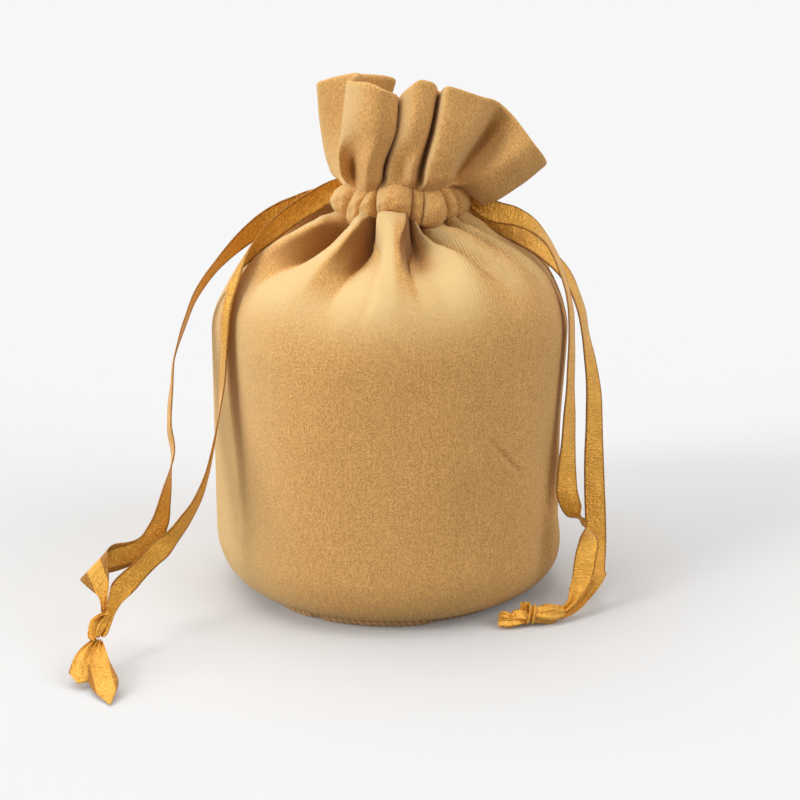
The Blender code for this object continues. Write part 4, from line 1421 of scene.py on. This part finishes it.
def band(first: Array, second: Array, bow: Array, point: float = 0.0) -> Patch:
    """A thin ribbon between two edge lines.

    Args:
        first: points of one edge.
        second: points of the other edge.
        bow: how far the middle of the ribbon stands off the straight line across, at each point.
        point: how far the last end runs out to a point.

    Returns:
        A closed patch whose section runs across the face and back. At offset c from -1 to 1 across it, the
        face stands out as bow * (1 - c * c) with a soft ripple. Where the edges come close, the spare width
        folds lengthwise as cos(5.2 c). The woven edges are a little thicker.
    """
    centre, half = (first + second) / 2, (first - second) / 2
    along = unit(np.gradient(centre, axis=0))
    out = unit(np.cross(unit(half), along))
    far = walked(centre)
    loop, face = both_faces((-1.0, -0.9, -0.72, -0.48, -0.24, 0.0, 0.24, 0.48, 0.72, 0.9, 1.0))
    thick = RIBBON_THICKNESS / 2 * (0.75 + 0.35 * ease(0.8, 0.92, np.abs(loop)))
    span = np.linalg.norm(half, axis=1)
    spare = np.maximum(RIBBON_WIDTH / 2 - span, 0.0)[:, None]
    ripple = 0.00010 * np.sin(far[:, None] / 0.0031 + 1.7 * loop) * np.sin(far[:, None] / 0.0113 + 0.6)
    lift = bow[:, None] * (1.0 - loop**2) + 0.30 * spare * np.cos(5.2 * loop) + ripple + face * thick
    points = centre[:, None] + half[:, None] * loop[..., None] + out[:, None] * lift[..., None]
    tip = point * (1.0 - np.abs(loop)) * ease(far[-1] - 0.005, far[-1], far)[:, None]
    points = points + along[:, None] * tip[..., None]
    middle = points - out[:, None] * (face * thick)[..., None]
    points = np.concatenate([middle[:1], points, middle[-1:]])
    offset, run = loop * capped(span)[:, None], capped(far)[:, None]
    return Patch(points, joined(offset, run, 0.0))


def smooth_edges(edges: Array, step: float = 0.0006) -> Array:
    """Runs both edges of a ribbon smoothly through given points.

    Args:
        edges: points by 2 edges by 3, in metres.
        step: distance between the points that come back.

    Returns:
        More points by 2 edges by 3, at even steps along the middle.
    """
    knots = walked(edges.mean(axis=1))
    places = np.linspace(0.0, knots[-1], int(knots[-1] / step) + 2)
    return through(places, knots, edges.reshape(len(edges), 6)).reshape(-1, 2, 3)


@dataclass
class Ribbon:
    """A flat satin strip along a route, which may end in a stretch that is given by its two edges.

    Attributes:
        name: the piece's name.
        route: points in millimetres, each with the turn of the flat side in degrees. At 0 it faces outward.
        edges: the points of both edges after the route, in millimetres.
        curl: how deep the section bows in millimetres, at shares of the way along.
        point: how far the last end runs out to a point, in millimetres.
        grip: share of its width that the ribbon keeps in the channel's slit.
    """

    name: str
    route: tuple[Row, ...] = ()
    edges: tuple[tuple[Row, Row], ...] = ()
    curl: tuple[Row, ...] = ((0.0, 0.2), (1.0, 0.2))
    point: float = 0.0
    grip: float = 0.5

    def line(self, step: float = 0.0008) -> tuple[Array, Array]:
        """The route's centre line and turns.

        Args:
            step: distance between points.

        Returns:
            Points, and the turn of the flat side in radians at each.
        """
        route = np.array(self.route, float) * np.array([MM, MM, MM, math.pi / 180])
        knots = walked(route[:, :3])
        fine = through(np.linspace(0.0, knots[-1], int(knots[-1] / step) + 2), knots, route)
        return fine[:, :3], fine[:, 3]

    def rails(self) -> Array:
        """Both edges along the whole ribbon: points by 2 by 3.

        Across the route they lie half a width out, and less where the channel's slit holds the ribbon.
        """
        given = np.array(self.edges, float).reshape(-1, 2, 3) * MM
        if not self.route:
            return smooth_edges(given)
        line, turns = self.line()
        along = unit(np.gradient(line, axis=0))
        across = unit(np.cross(along, unit(line - BAG_CENTRE)))
        grip = self.grip + (1.0 - self.grip) * ease(0.003, 0.016, walked(line))
        half = turn_about(across, along, turns) * (grip * RIBBON_WIDTH / 2)[:, None]
        rails = np.stack([line + half, line - half], axis=1)
        if not self.edges:
            return rails
        lead = rails[[-9, -1]]
        tail = smooth_edges(np.concatenate([lead, given]))
        start = np.linalg.norm(tail.mean(axis=1) - line[-1], axis=1).argmin() + 1
        return np.concatenate([rails, tail[start:]])

    def path(self) -> Array:
        """The middle of the ribbon from end to end."""
        return self.rails().mean(axis=1)

    def patch(self) -> Patch:
        """The ribbon as a thin closed strip."""
        rails = self.rails()
        far = walked(rails.mean(axis=1))
        curl = np.array(self.curl)
        bow = through(far / far[-1], curl[:, 0], curl[:, 1] * MM)
        return band(rails[:, 0], rails[:, 1], bow, self.point * MM)


def roll(line: tuple[Row, ...], pleats: int, twist: float) -> Patch:
    """A thick roll of crushed ribbon.

    Args:
        line: x, y, z and half height along it, in millimetres.
        pleats: creases round its section.
        twist: turns of the creases along it.

    Returns:
        A tube closed to a point at both ends. At angle a of its section and share s along it, its radius is
        the half height times 1 + 0.13 cos(pleats a + 2 pi twist s) + 0.07 cos(2 a + 9 s).
    """
    rows, columns, half_width = 60, 40, 0.0021
    given = np.array(line, float) * MM
    knots = walked(given[:, :3])
    fine = through(np.linspace(0.0, knots[-1], rows), knots, given)
    share = np.linspace(0.0, 1.0, rows)[:, None]
    turn = once_round(columns)[None, :]
    along = unit(np.gradient(fine[:, :3], axis=0))
    side = unit(np.cross(along, np.array([0.0, 0.0, 1.0])))
    up = np.cross(side, along)
    crease = 1.0 + 0.13 * np.cos(pleats * turn + 2 * math.pi * twist * share)
    crease = crease + 0.07 * np.cos(2 * turn + 9 * share)
    reach = fine[:, 3:] * crease * np.minimum(1.0, 6.0 * np.sqrt(share * (1.0 - share)) + 0.15)
    ring = side[:, None] * np.cos(turn)[..., None] + up[:, None] * np.sin(turn)[..., None]
    points = capped(fine[:, :3])[:, None] + capped(ring) * np.pad(reach, ((1, 1), (0, 0)))[..., None]
    across, run = half_width * np.cos(turn), capped(share) * knots[-1]
    return Patch(points, joined(across, run, 0.0))


def hoop(centre: Row, reach: Row, width: float, lean: float) -> Patch:
    """A wrap of ribbon round a roll that runs along X.

    Args:
        centre: its middle, in millimetres.
        reach: half its depth and half its height, in millimetres.
        width: its width in millimetres.
        lean: how far its top stands to the right of its foot, in millimetres.

    Returns:
        A band whose ends meet behind and below the roll.
    """
    turn = np.linspace(-0.7 * math.pi, 1.32 * math.pi, 90)[:, None]
    depth, height = reach
    shift = lean / 2 * np.sin(turn)
    ring = np.concatenate([shift, depth * np.cos(turn + math.pi), height * np.sin(turn)], axis=1)
    line = (np.array(centre) + ring) * MM
    half = np.array([width / 2, 0.0, 0.0]) * MM
    return band(line - half, line + half, np.full(len(line), 0.0004))


@dataclass
class Knot:
    """A knot of crushed ribbon: flat straps over pleated rolls, held by wraps.

    Attributes:
        name: the piece's name.
        straps: the points of both edges of each strap, in millimetres.
        rolls: x, y, z and half height of each roll, in millimetres.
        wraps: middle, reach, width and lean of each wrap, in millimetres.
        bow: how far a strap's middle stands out, in millimetres.
    """

    name: str
    straps: tuple[tuple[tuple[Row, Row], ...], ...] = ()
    rolls: tuple[tuple[Row, ...], ...] = ()
    wraps: tuple[tuple[Row, Row, float, float], ...] = ()
    bow: float = 0.7

    def patches(self) -> list[Patch]:
        """All parts of the knot."""
        curl = ((0.0, self.bow), (1.0, self.bow))
        straps = [Ribbon(self.name, edges=edges, curl=curl).patch() for edges in self.straps]
        rolls = [roll(line, 5 + k, 0.8) for k, line in enumerate(self.rolls)]
        return straps + rolls + [hoop(*wrap) for wrap in self.wraps]


LEFT_FRONT = Ribbon(
    "left_front_ribbon",
    route=(
        (-11.65, -0.6, 121.8, 90), (-15.6, -0.8, 121.4, 90), (-19.0, -1.3, 120.0, 88),
        (-22.6, -2.4, 118.0, 86), (-26.4, -4.2, 116.0, 84), (-30.6, -6.8, 113.4, 80),
        (-35.4, -10.8, 110.0, 68), (-40.0, -15.2, 105.8, 46), (-43.0, -18.8, 101.8, 24),
        (-45.2, -22.0, 97.6, 10), (-46.9, -24.8, 92.4, 6), (-47.8, -26.6, 86.4, 5),
        (-48.2, -27.7, 79.5, 8), (-48.6, -28.7, 72.9, 12), (-49.2, -30.2, 66.1, 18),
        (-50.1, -32.4, 59.3, 22), (-51.4, -36.0, 51.9, 30), (-53.2, -39.5, 44.6, 36),
        (-55.6, -43.0, 38.9, 44), (-59.1, -46.5, 33.8, 58), (-62.9, -50.0, 29.6, 68),
        (-67.3, -54.0, 26.3, 80), (-71.3, -57.5, 22.9, 84),
    ),
    edges=(
        ((-72.5, -60.0, 17.7), (-78.4, -60.0, 20.4)), ((-75.4, -62.0, 15.4), (-79.0, -62.0, 17.9)),
        ((-76.9, -64.5, 13.5), (-79.4, -64.5, 15.6)), ((-78.0, -68.5, 10.9), (-80.8, -68.0, 13.0)),
        ((-78.8, -70.6, 9.3), (-81.0, -70.2, 11.2)), ((-79.8, -71.2, 8.8), (-80.6, -71.0, 9.4)),
    ),
    curl=((0.0, 0.5), (0.08, 0.9), (0.18, 0.9), (0.24, 1.2), (0.32, 1.0), (0.42, 0.3), (1.0, 0.3)),
    grip=0.95,
)
LEFT_BACK = Ribbon(
    "left_back_ribbon",
    route=(
        (-11.65, 0.6, 121.8, 90), (-15.6, 0.8, 121.4, 90), (-19.0, 1.2, 120.0, 90),
        (-22.8, 1.8, 118.0, 88), (-27.1, 2.2, 116.0, 85), (-32.2, 1.8, 114.0, 83),
        (-36.6, 1.0, 111.6, 78), (-42.0, -0.5, 107.9, 59), (-47.6, -2.5, 103.2, 38),
        (-51.4, -5.0, 99.5, 30), (-55.1, -8.0, 95.2, 25), (-58.1, -11.0, 90.5, 22),
        (-60.1, -14.0, 85.5, 20), (-62.0, -17.5, 80.0, 17), (-63.4, -21.0, 74.6, 14),
        (-63.8, -25.5, 68.4, 8), (-64.2, -29.0, 61.8, 6), (-64.1, -32.0, 57.6, 5),
        (-62.8, -36.0, 51.3, 9), (-63.6, -40.0, 44.8, 24), (-64.6, -43.5, 39.4, 44),
        (-65.8, -47.0, 34.0, 65), (-68.0, -50.0, 29.9, 78),
    ),
    edges=(
        ((-73.4, -53.2, 23.4), (-73.6, -53.2, 30.4)), ((-79.2, -55.5, 22.0), (-78.0, -55.5, 30.4)),
        ((-86.8, -58.2, 21.4), (-79.6, -57.6, 29.4)), ((-87.2, -59.4, 21.2), (-79.5, -59.0, 29.5)),
        ((-86.4, -60.4, 20.8), (-79.2, -60.2, 28.9)), ((-83.8, -62.2, 19.2), (-78.9, -62.2, 25.0)),
        ((-81.6, -64.0, 18.0), (-78.7, -64.0, 20.8)), ((-80.8, -65.4, 16.4), (-79.0, -65.4, 17.6)),
        ((-80.6, -66.6, 14.6), (-79.4, -66.6, 15.0)),
    ),
)
RIGHT_FRONT = Ribbon(
    "right_front_ribbon",
    route=(
        (17.65, -0.6, 121.8, 90), (20.4, -0.7, 121.5, 90), (23.2, -1.2, 119.4, 88),
        (26.6, -1.8, 116.8, 84), (31.0, -2.6, 114.8, 72), (35.9, -3.4, 113.8, 54),
        (40.9, -4.6, 111.6, 29), (45.4, -6.2, 107.6, 6), (48.4, -8.4, 102.8, -2), (50.5, -11.0, 97.4, -4),
        (52.5, -14.0, 89.6, -4), (53.0, -16.5, 79.6, -1), (52.8, -18.5, 69.4, 4), (52.6, -20.0, 59.0, 13),
        (52.3, -21.5, 48.8, 25), (52.0, -23.0, 40.1, 45), (52.3, -24.5, 33.9, 72),
        (54.2, -25.5, 29.2, 96), (57.6, -27.0, 25.8, 160), (58.5, -29.2, 22.1, 235),
        (57.3, -32.6, 17.3, 262),
    ),
    edges=(
        ((59.2, -34.5, 11.7), (53.3, -34.2, 11.5)), ((57.0, -36.5, 8.3), (52.5, -36.2, 9.1)),
        ((54.5, -38.5, 5.6), (51.7, -38.5, 6.2)), ((51.5, -40.2, 3.3), (50.1, -39.5, 5.0)),
        ((49.3, -41.0, 2.2), (48.1, -40.5, 4.6)),
    ),
)
RIGHT_BACK = Ribbon(
    "right_back_ribbon",
    route=(
        (17.65, 0.6, 121.8, 90), (20.4, 0.7, 121.5, 90), (23.2, 1.1, 119.0, 90), (26.2, 1.6, 115.4, 90),
        (29.8, 2.0, 112.2, 84), (34.2, 2.2, 109.2, 64), (39.0, 2.0, 106.4, 51), (43.6, 1.4, 103.4, 40),
        (47.6, 0.4, 100.2, 33), (50.6, -0.8, 97.4, 29), (53.0, -2.0, 94.2, 25), (55.0, -3.0, 90.2, 19),
        (56.8, -4.0, 85.2, 16), (58.0, -5.4, 78.6, 15), (59.5, -6.8, 70.6, 26), (60.7, -8.4, 61.7, 40),
        (61.0, -9.6, 52.6, 46), (61.1, -11.0, 42.6, 60), (61.4, -12.8, 32.1, 74), (61.8, -15.0, 22.6, 80),
        (61.8, -18.5, 14.9, 86), (61.2, -23.0, 10.2, 90),
    ),
    edges=(
        ((58.5, -29.6, 9.4), (64.0, -28.0, 9.8)), ((57.4, -32.2, 6.8), (61.5, -31.0, 6.8)),
        ((55.4, -35.2, 5.0), (58.2, -34.5, 4.4)), ((52.1, -38.8, 3.6), (54.6, -38.0, 2.4)),
        ((49.6, -40.4, 3.1), (49.9, -41.4, 1.4)),
    ),
)
LEFT_TAILS = (
    Ribbon(
        "left_front_ribbon_tail",
        edges=(
            ((-81.0, -71.3, 8.2), (-80.2, -71.2, 8.4)), ((-82.3, -75.0, 6.8), (-79.0, -74.0, 7.5)),
            ((-82.6, -80.0, 4.9), (-76.9, -80.0, 6.0)), ((-81.2, -87.6, 1.9), (-73.4, -88.4, 3.6)),
            ((-79.6, -90.6, 1.4), (-73.4, -90.6, 2.9)),
        ),
        curl=((0.0, -0.4), (0.5, -0.9), (1.0, -0.3)),
        point=6.4,
    ),
    Ribbon(
        "left_back_ribbon_tail",
        edges=(
            ((-82.2, -71.2, 8.4), (-81.4, -71.6, 8.0)), ((-85.0, -74.4, 7.4), (-82.2, -75.0, 6.6)),
            ((-86.7, -78.0, 6.2), (-82.4, -79.6, 4.4)), ((-87.6, -83.6, 4.0), (-81.8, -85.0, 2.0)),
        ),
        curl=((0.0, 0.3), (1.0, 0.3)),
        point=2.6,
    ),
)
LEFT_KNOT = Knot(
    "left_ribbon_knot",
    straps=(
        (
            ((-79.6, -66.2, 14.9), (-80.0, -65.8, 14.2)), ((-81.4, -67.8, 14.2), (-81.0, -69.0, 12.9)),
            ((-83.3, -68.2, 12.6), (-81.6, -70.2, 11.7)), ((-83.9, -69.6, 10.6), (-81.6, -71.0, 10.2)),
            ((-83.8, -71.2, 8.7), (-81.4, -71.8, 8.8)), ((-82.6, -71.8, 7.8), (-81.2, -71.9, 8.2)),
        ),
    ),
    rolls=(
        (
            (-78.8, -66.0, 14.4, 0.9), (-80.0, -67.4, 12.4, 1.5), (-81.2, -69.4, 10.6, 1.5),
            (-81.6, -71.0, 8.8, 0.8),
        ),
    ),
)
RIGHT_TAILS = (
    Ribbon(
        "right_front_ribbon_tail",
        edges=(
            ((39.3, -42.6, 2.4), (39.5, -42.0, 1.2)), ((36.6, -44.4, 3.2), (36.8, -43.8, 0.6)),
            ((33.4, -45.2, 3.2), (33.2, -44.6, 0.5)), ((31.0, -45.0, 3.0), (31.4, -44.4, 0.8)),
        ),
        curl=((0.0, 0.6), (0.5, 1.0), (1.0, 0.6)),
    ),
    Ribbon(
        "right_back_ribbon_tail",
        edges=(
            ((40.9, -41.2, 3.6), (39.0, -41.4, 2.6)), ((40.9, -40.4, 4.8), (38.0, -40.4, 3.8)),
            ((40.7, -39.4, 6.2), (37.9, -39.2, 5.9)),
        ),
        curl=((0.0, 0.3), (1.0, 0.2)),
    ),
)
RIGHT_KNOT = Knot(
    "right_ribbon_knot",
    straps=(
        (
            ((49.6, -40.0, 5.3), (49.0, -41.8, 3.2)), ((46.6, -41.0, 5.6), (46.6, -43.4, 3.6)),
            ((43.4, -41.6, 5.3), (43.8, -43.8, 3.0)), ((41.4, -42.0, 4.6), (41.8, -43.6, 2.8)),
        ),
    ),
    rolls=(
        ((50.6, -39.8, 3.4, 1.6), (47.4, -40.8, 3.1, 2.5), (44.6, -41.4, 3.2, 2.6), (41.0, -42.0, 3.0, 2.2)),
        (
            (40.4, -42.2, 2.6, 1.6), (37.0, -42.8, 2.7, 2.2), (35.0, -43.0, 2.2, 1.6),
            (33.0, -43.0, 2.6, 2.0), (31.4, -43.0, 2.4, 1.2),
        ),
    ),
    wraps=(((40.9, -42.0, 3.35), (2.7, 2.7), 2.1, 0.9),),
)


@dataclass
class Drawstring:
    """One ribbon of the bag: two strands that leave the channel at one side, and a knot with two cut tails.

    Attributes:
        side: the side it leaves from.
        strands: the strand in front and the one behind.
        tails: the tail in front and the one behind.
        knot: the knot.
        lengths: lengths of the front and the back strand, from the channel to the knot; not used.
    """

    side: Side
    strands: tuple[Ribbon, Ribbon]
    tails: tuple[Ribbon, Ribbon]
    knot: Knot
    lengths: tuple[float, float]

    def piece(self, name: str, patches: list[Patch], node: str, finishes: Finishes) -> Piece:
        """Makes one satin piece, which stands for the node of that name on this side.

        Args:
            name: the piece's name.
            patches: its grids.
            node: the node's name without the side.
            finishes: the bag's materials.

        Returns:
            The piece.
        """
        piece = make_piece(name, patches, weld=True)
        dress(piece, finishes.satin, (f"{self.side.name.lower()}_{node}",))
        return piece

    def build(self, finishes: Finishes) -> list[Piece]:
        """Builds the strands, the knot and the tails.

        Args:
            finishes: the bag's materials.

        Returns:
            The pieces. The knot and the tails ride on the ribbon's own body; the strands stand on their own,
            their transforms applied.
        """
        body = f"{self.side.name.lower()}_drawstring"
        places = ("front", "back")
        ends = [self.piece(self.knot.name, self.knot.patches(), "knot", finishes)]
        for place, ribbon in zip(places, self.tails):
            ends.append(self.piece(ribbon.name, [ribbon.patch()], f"{place}_tail", finishes))
        for piece in ends:
            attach(piece, body)
        strands = []
        for place, ribbon, length in zip(places, self.strands, self.lengths):
            strand = self.piece(ribbon.name, [ribbon.patch()], f"{place}_strand", finishes)
            path = ribbon.path()
            LOG.info("%s: %.1f mm long", ribbon.name, walked(path)[-1] / MM)
            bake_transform(strand)
            strands.append(strand)
        return ends + strands


@dataclass
class ChannelRibbon:
    """The stretch of ribbon that runs round inside the channel, folded out at its own side.

    Attributes:
        side: the side it leaves from.
        neck: the neck that it lies in.
        radius: radius of the loop.
        width: width of the folded ribbon.
        thickness: its thickness.
        gap: gap between the loops of the two sides.
        z: height between the two loops.
        open_angle: half the angle that is left open at the slit, in degrees.
        rows: rows along the loop.
    """

    side: Side
    neck: GatheredNeck
    radius: float = 0.01375
    width: float = 0.0028
    thickness: float = 0.0003
    gap: float = 0.0003
    z: float = 0.1218
    open_angle: float = 20.0
    rows: int = 120

    def build(self, finishes: Finishes) -> Piece:
        """Builds the loop as a thin band round the neck, open at its slit.

        Args:
            finishes: the bag's materials.

        Returns:
            The loop, with its own copy of its mesh.
        """
        sign = self.side.value
        lift = -sign * (self.width + self.gap) / 2
        first, last = math.radians(self.open_angle), math.radians(360.0 - self.open_angle)
        angle = math.radians(90.0 * sign) + np.linspace(first, last, self.rows)[:, None]
        loop, face = both_faces((-1.0, -0.5, 0.0, 0.5, 1.0))
        across = loop * self.width / 2
        radius = self.radius + face * self.thickness / 2
        points = polar(angle, radius, self.z + lift + across, self.neck.shift)
        middle = (points + points[:, ::-1]) / 2
        points = np.concatenate([middle[:1], points, middle[-1:]])
        cloth = joined(across, capped(angle) * self.radius, 0.0)
        patch = Patch(points[:, ::-1], cloth[:, ::-1])
        label = self.side.name.lower()
        name, nodes = f"{label}_channel_ribbon", (f"{label}_loop",)
        piece = bag_piece(name, [patch], finishes.satin, nodes, weld=True)
        self.neck.draw_in(piece)
        return piece


@dataclass(frozen=True)
class Lamp:
    """A wide, soft light.

    Attributes:
        name: the light's name.
        source: direction that it comes from.
        energy: its strength.
        softness: how wide it looks, in degrees.
    """

    name: str
    source: Row
    energy: float
    softness: float

    def build(self) -> None:
        """Adds the light to the scene."""
        light = bpy.data.lights.new(self.name, "SUN")
        light.energy = self.energy
        light.angle = math.radians(self.softness)
        lamp = bpy.data.objects.new(self.name, light)
        x, y, z = self.source
        lamp.rotation_euler = (math.atan2(math.hypot(x, y), z), 0.0, math.atan2(x, -y))
        bpy.context.scene.collection.objects.link(lamp)


# A low key light and a smaller light that draws the ribbons' shadows, both from the left, a top light and a
# fill from the upper right
LAMPS = (
    Lamp("key_light", (-0.91, -0.32, 0.26), 1.75, 50.0),
    Lamp("side_light", (-0.66, -0.46, 0.60), 0.75, 16.0),
    Lamp("top_light", (-0.20, 0.22, 0.95), 1.50, 60.0),
    Lamp("fill_light", (0.74, -0.34, 0.58), 1.05, 45.0),
)


@dataclass
class Studio:
    """Camera, soft light and a pale floor.

    Attributes:
        target: what the camera looks at.
        elevation: the camera's height above the horizon, in degrees.
        distance: its distance from the target.
        focal_px: focal length in pixels of a picture that is width_px wide.
        width_px: that width.
        sensor: width of the camera's sensor in millimetres.
        sky: strength of the even light all round.
        backdrop: brightness of the backdrop to the camera.
        floor_reach: half the floor's width.
        floor_colour: colour of the floor.
        floor_bounce: colour of the floor to the light that it throws back at the bag.
        floor_glow: share of the floor that is as bright as the backdrop to the camera.
    """

    target: Row = (0.0026, 0.0, 0.056)
    elevation: float = 17.0
    distance: float = 0.600
    focal_px: float = 1967.0
    width_px: float = 800.0
    sensor: float = 36.0
    sky: float = 0.47
    backdrop: float = 0.92
    floor_reach: float = 6.0
    floor_colour: Row = (0.66, 0.66, 0.66)
    floor_bounce: Row = (0.28, 0.28, 0.28)
    floor_glow: float = 0.05

    def camera(self) -> None:
        """Places the camera in front of the bag, looking a little down."""
        lens = bpy.data.cameras.new("studio_camera")
        lens.sensor_fit = "HORIZONTAL"
        lens.sensor_width = self.sensor
        lens.lens = self.sensor * self.focal_px / self.width_px
        lens.clip_start, lens.clip_end = 0.01, 50.0
        camera = bpy.data.objects.new("studio_camera", lens)
        tilt = math.radians(self.elevation)
        away = np.array([0.0, -math.cos(tilt), math.sin(tilt)]) * self.distance
        camera.location = tuple(np.array(self.target) + away)
        camera.rotation_euler = (math.pi / 2 - tilt, 0.0, 0.0)
        bpy.context.scene.collection.objects.link(camera)
        bpy.context.scene.camera = camera

    def seen(self, graph: Graph) -> Socket:
        """A value that is 1 for what the camera sees, also in gloss and through clear things."""
        path = graph.add("ShaderNodeLightPath").outputs
        gloss = graph.math("MAXIMUM", path["Is Glossy Ray"], path["Is Transmission Ray"])
        return graph.math("MAXIMUM", path["Is Camera Ray"], gloss)

    def lights(self) -> None:
        """Adds the lamps and the even light all round."""
        for lamp in LAMPS:
            lamp.build()
        world = bpy.data.worlds.new("studio")
        world.use_nodes = True
        graph = Graph(world.node_tree)
        shown = world.node_tree.nodes["Background"]
        shown.inputs["Color"].default_value = rgba((1.0, 1.0, 1.0))
        bright = graph.math("MULTIPLY", self.seen(graph), self.backdrop - self.sky)
        graph.feed(shown.inputs["Strength"], graph.math("ADD", bright, self.sky))
        bpy.context.scene.world = world

    def floor(self) -> None:
        """Lays a wide pale floor that takes the bag's shadow."""
        reach = np.array([-self.floor_reach, self.floor_reach])
        x, y = np.meshgrid(reach, reach)
        points = np.stack([x, y, np.zeros_like(x)], axis=-1)
        floor = make_piece("studio_floor", [Patch(points, points, wrap_columns=False)])
        material, graph, shader = new_material("pale_paper")
        seen = self.seen(graph)
        paper = graph.blend(seen, rgba(self.floor_bounce), rgba(self.floor_colour))
        graph.fill(shader, {"Base Color": paper, "Roughness": 0.95, "Specular IOR Level": 0.0})
        glow = graph.add("ShaderNodeEmission", {"Color": rgba((self.backdrop,) * 3), "Strength": 1.0})
        share = graph.math("MULTIPLY", seen, self.floor_glow)
        mix = graph.add("ShaderNodeMixShader", {0: share, 1: shader.outputs[0], 2: glow.outputs[0]})
        graph.feed(material.node_tree.nodes["Material Output"].inputs["Surface"], mix.outputs[0])
        floor.data.materials.append(material)

    def build(self) -> None:
        """Sets up the whole studio."""
        self.camera()
        self.lights()
        self.floor()
        bpy.context.scene.view_settings.view_transform = "Standard"


def main() -> None:
    """Builds the bag and its studio."""
    logging.basicConfig(level=logging.INFO, format="%(message)s")
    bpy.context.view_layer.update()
    Studio().build()
    finishes = Finishes()
    strings = (
        Drawstring(Side.LEFT, (LEFT_FRONT, LEFT_BACK), LEFT_TAILS, LEFT_KNOT, (0.157, 0.166)),
        Drawstring(Side.RIGHT, (RIGHT_FRONT, RIGHT_BACK), RIGHT_TAILS, RIGHT_KNOT, (0.156, 0.160)),
    )
    for string in strings:
        string.build(finishes)
    wall = BagWall()
    wall.build(finishes)
    neck = GatheredNeck()
    neck.build(finishes)
    for side in Side:
        ChannelRibbon(side, neck).build(finishes)
    BaseSeam().build(finishes)
    SideSeams(wall).build(finishes)


if __name__ == "__main__":
    main()
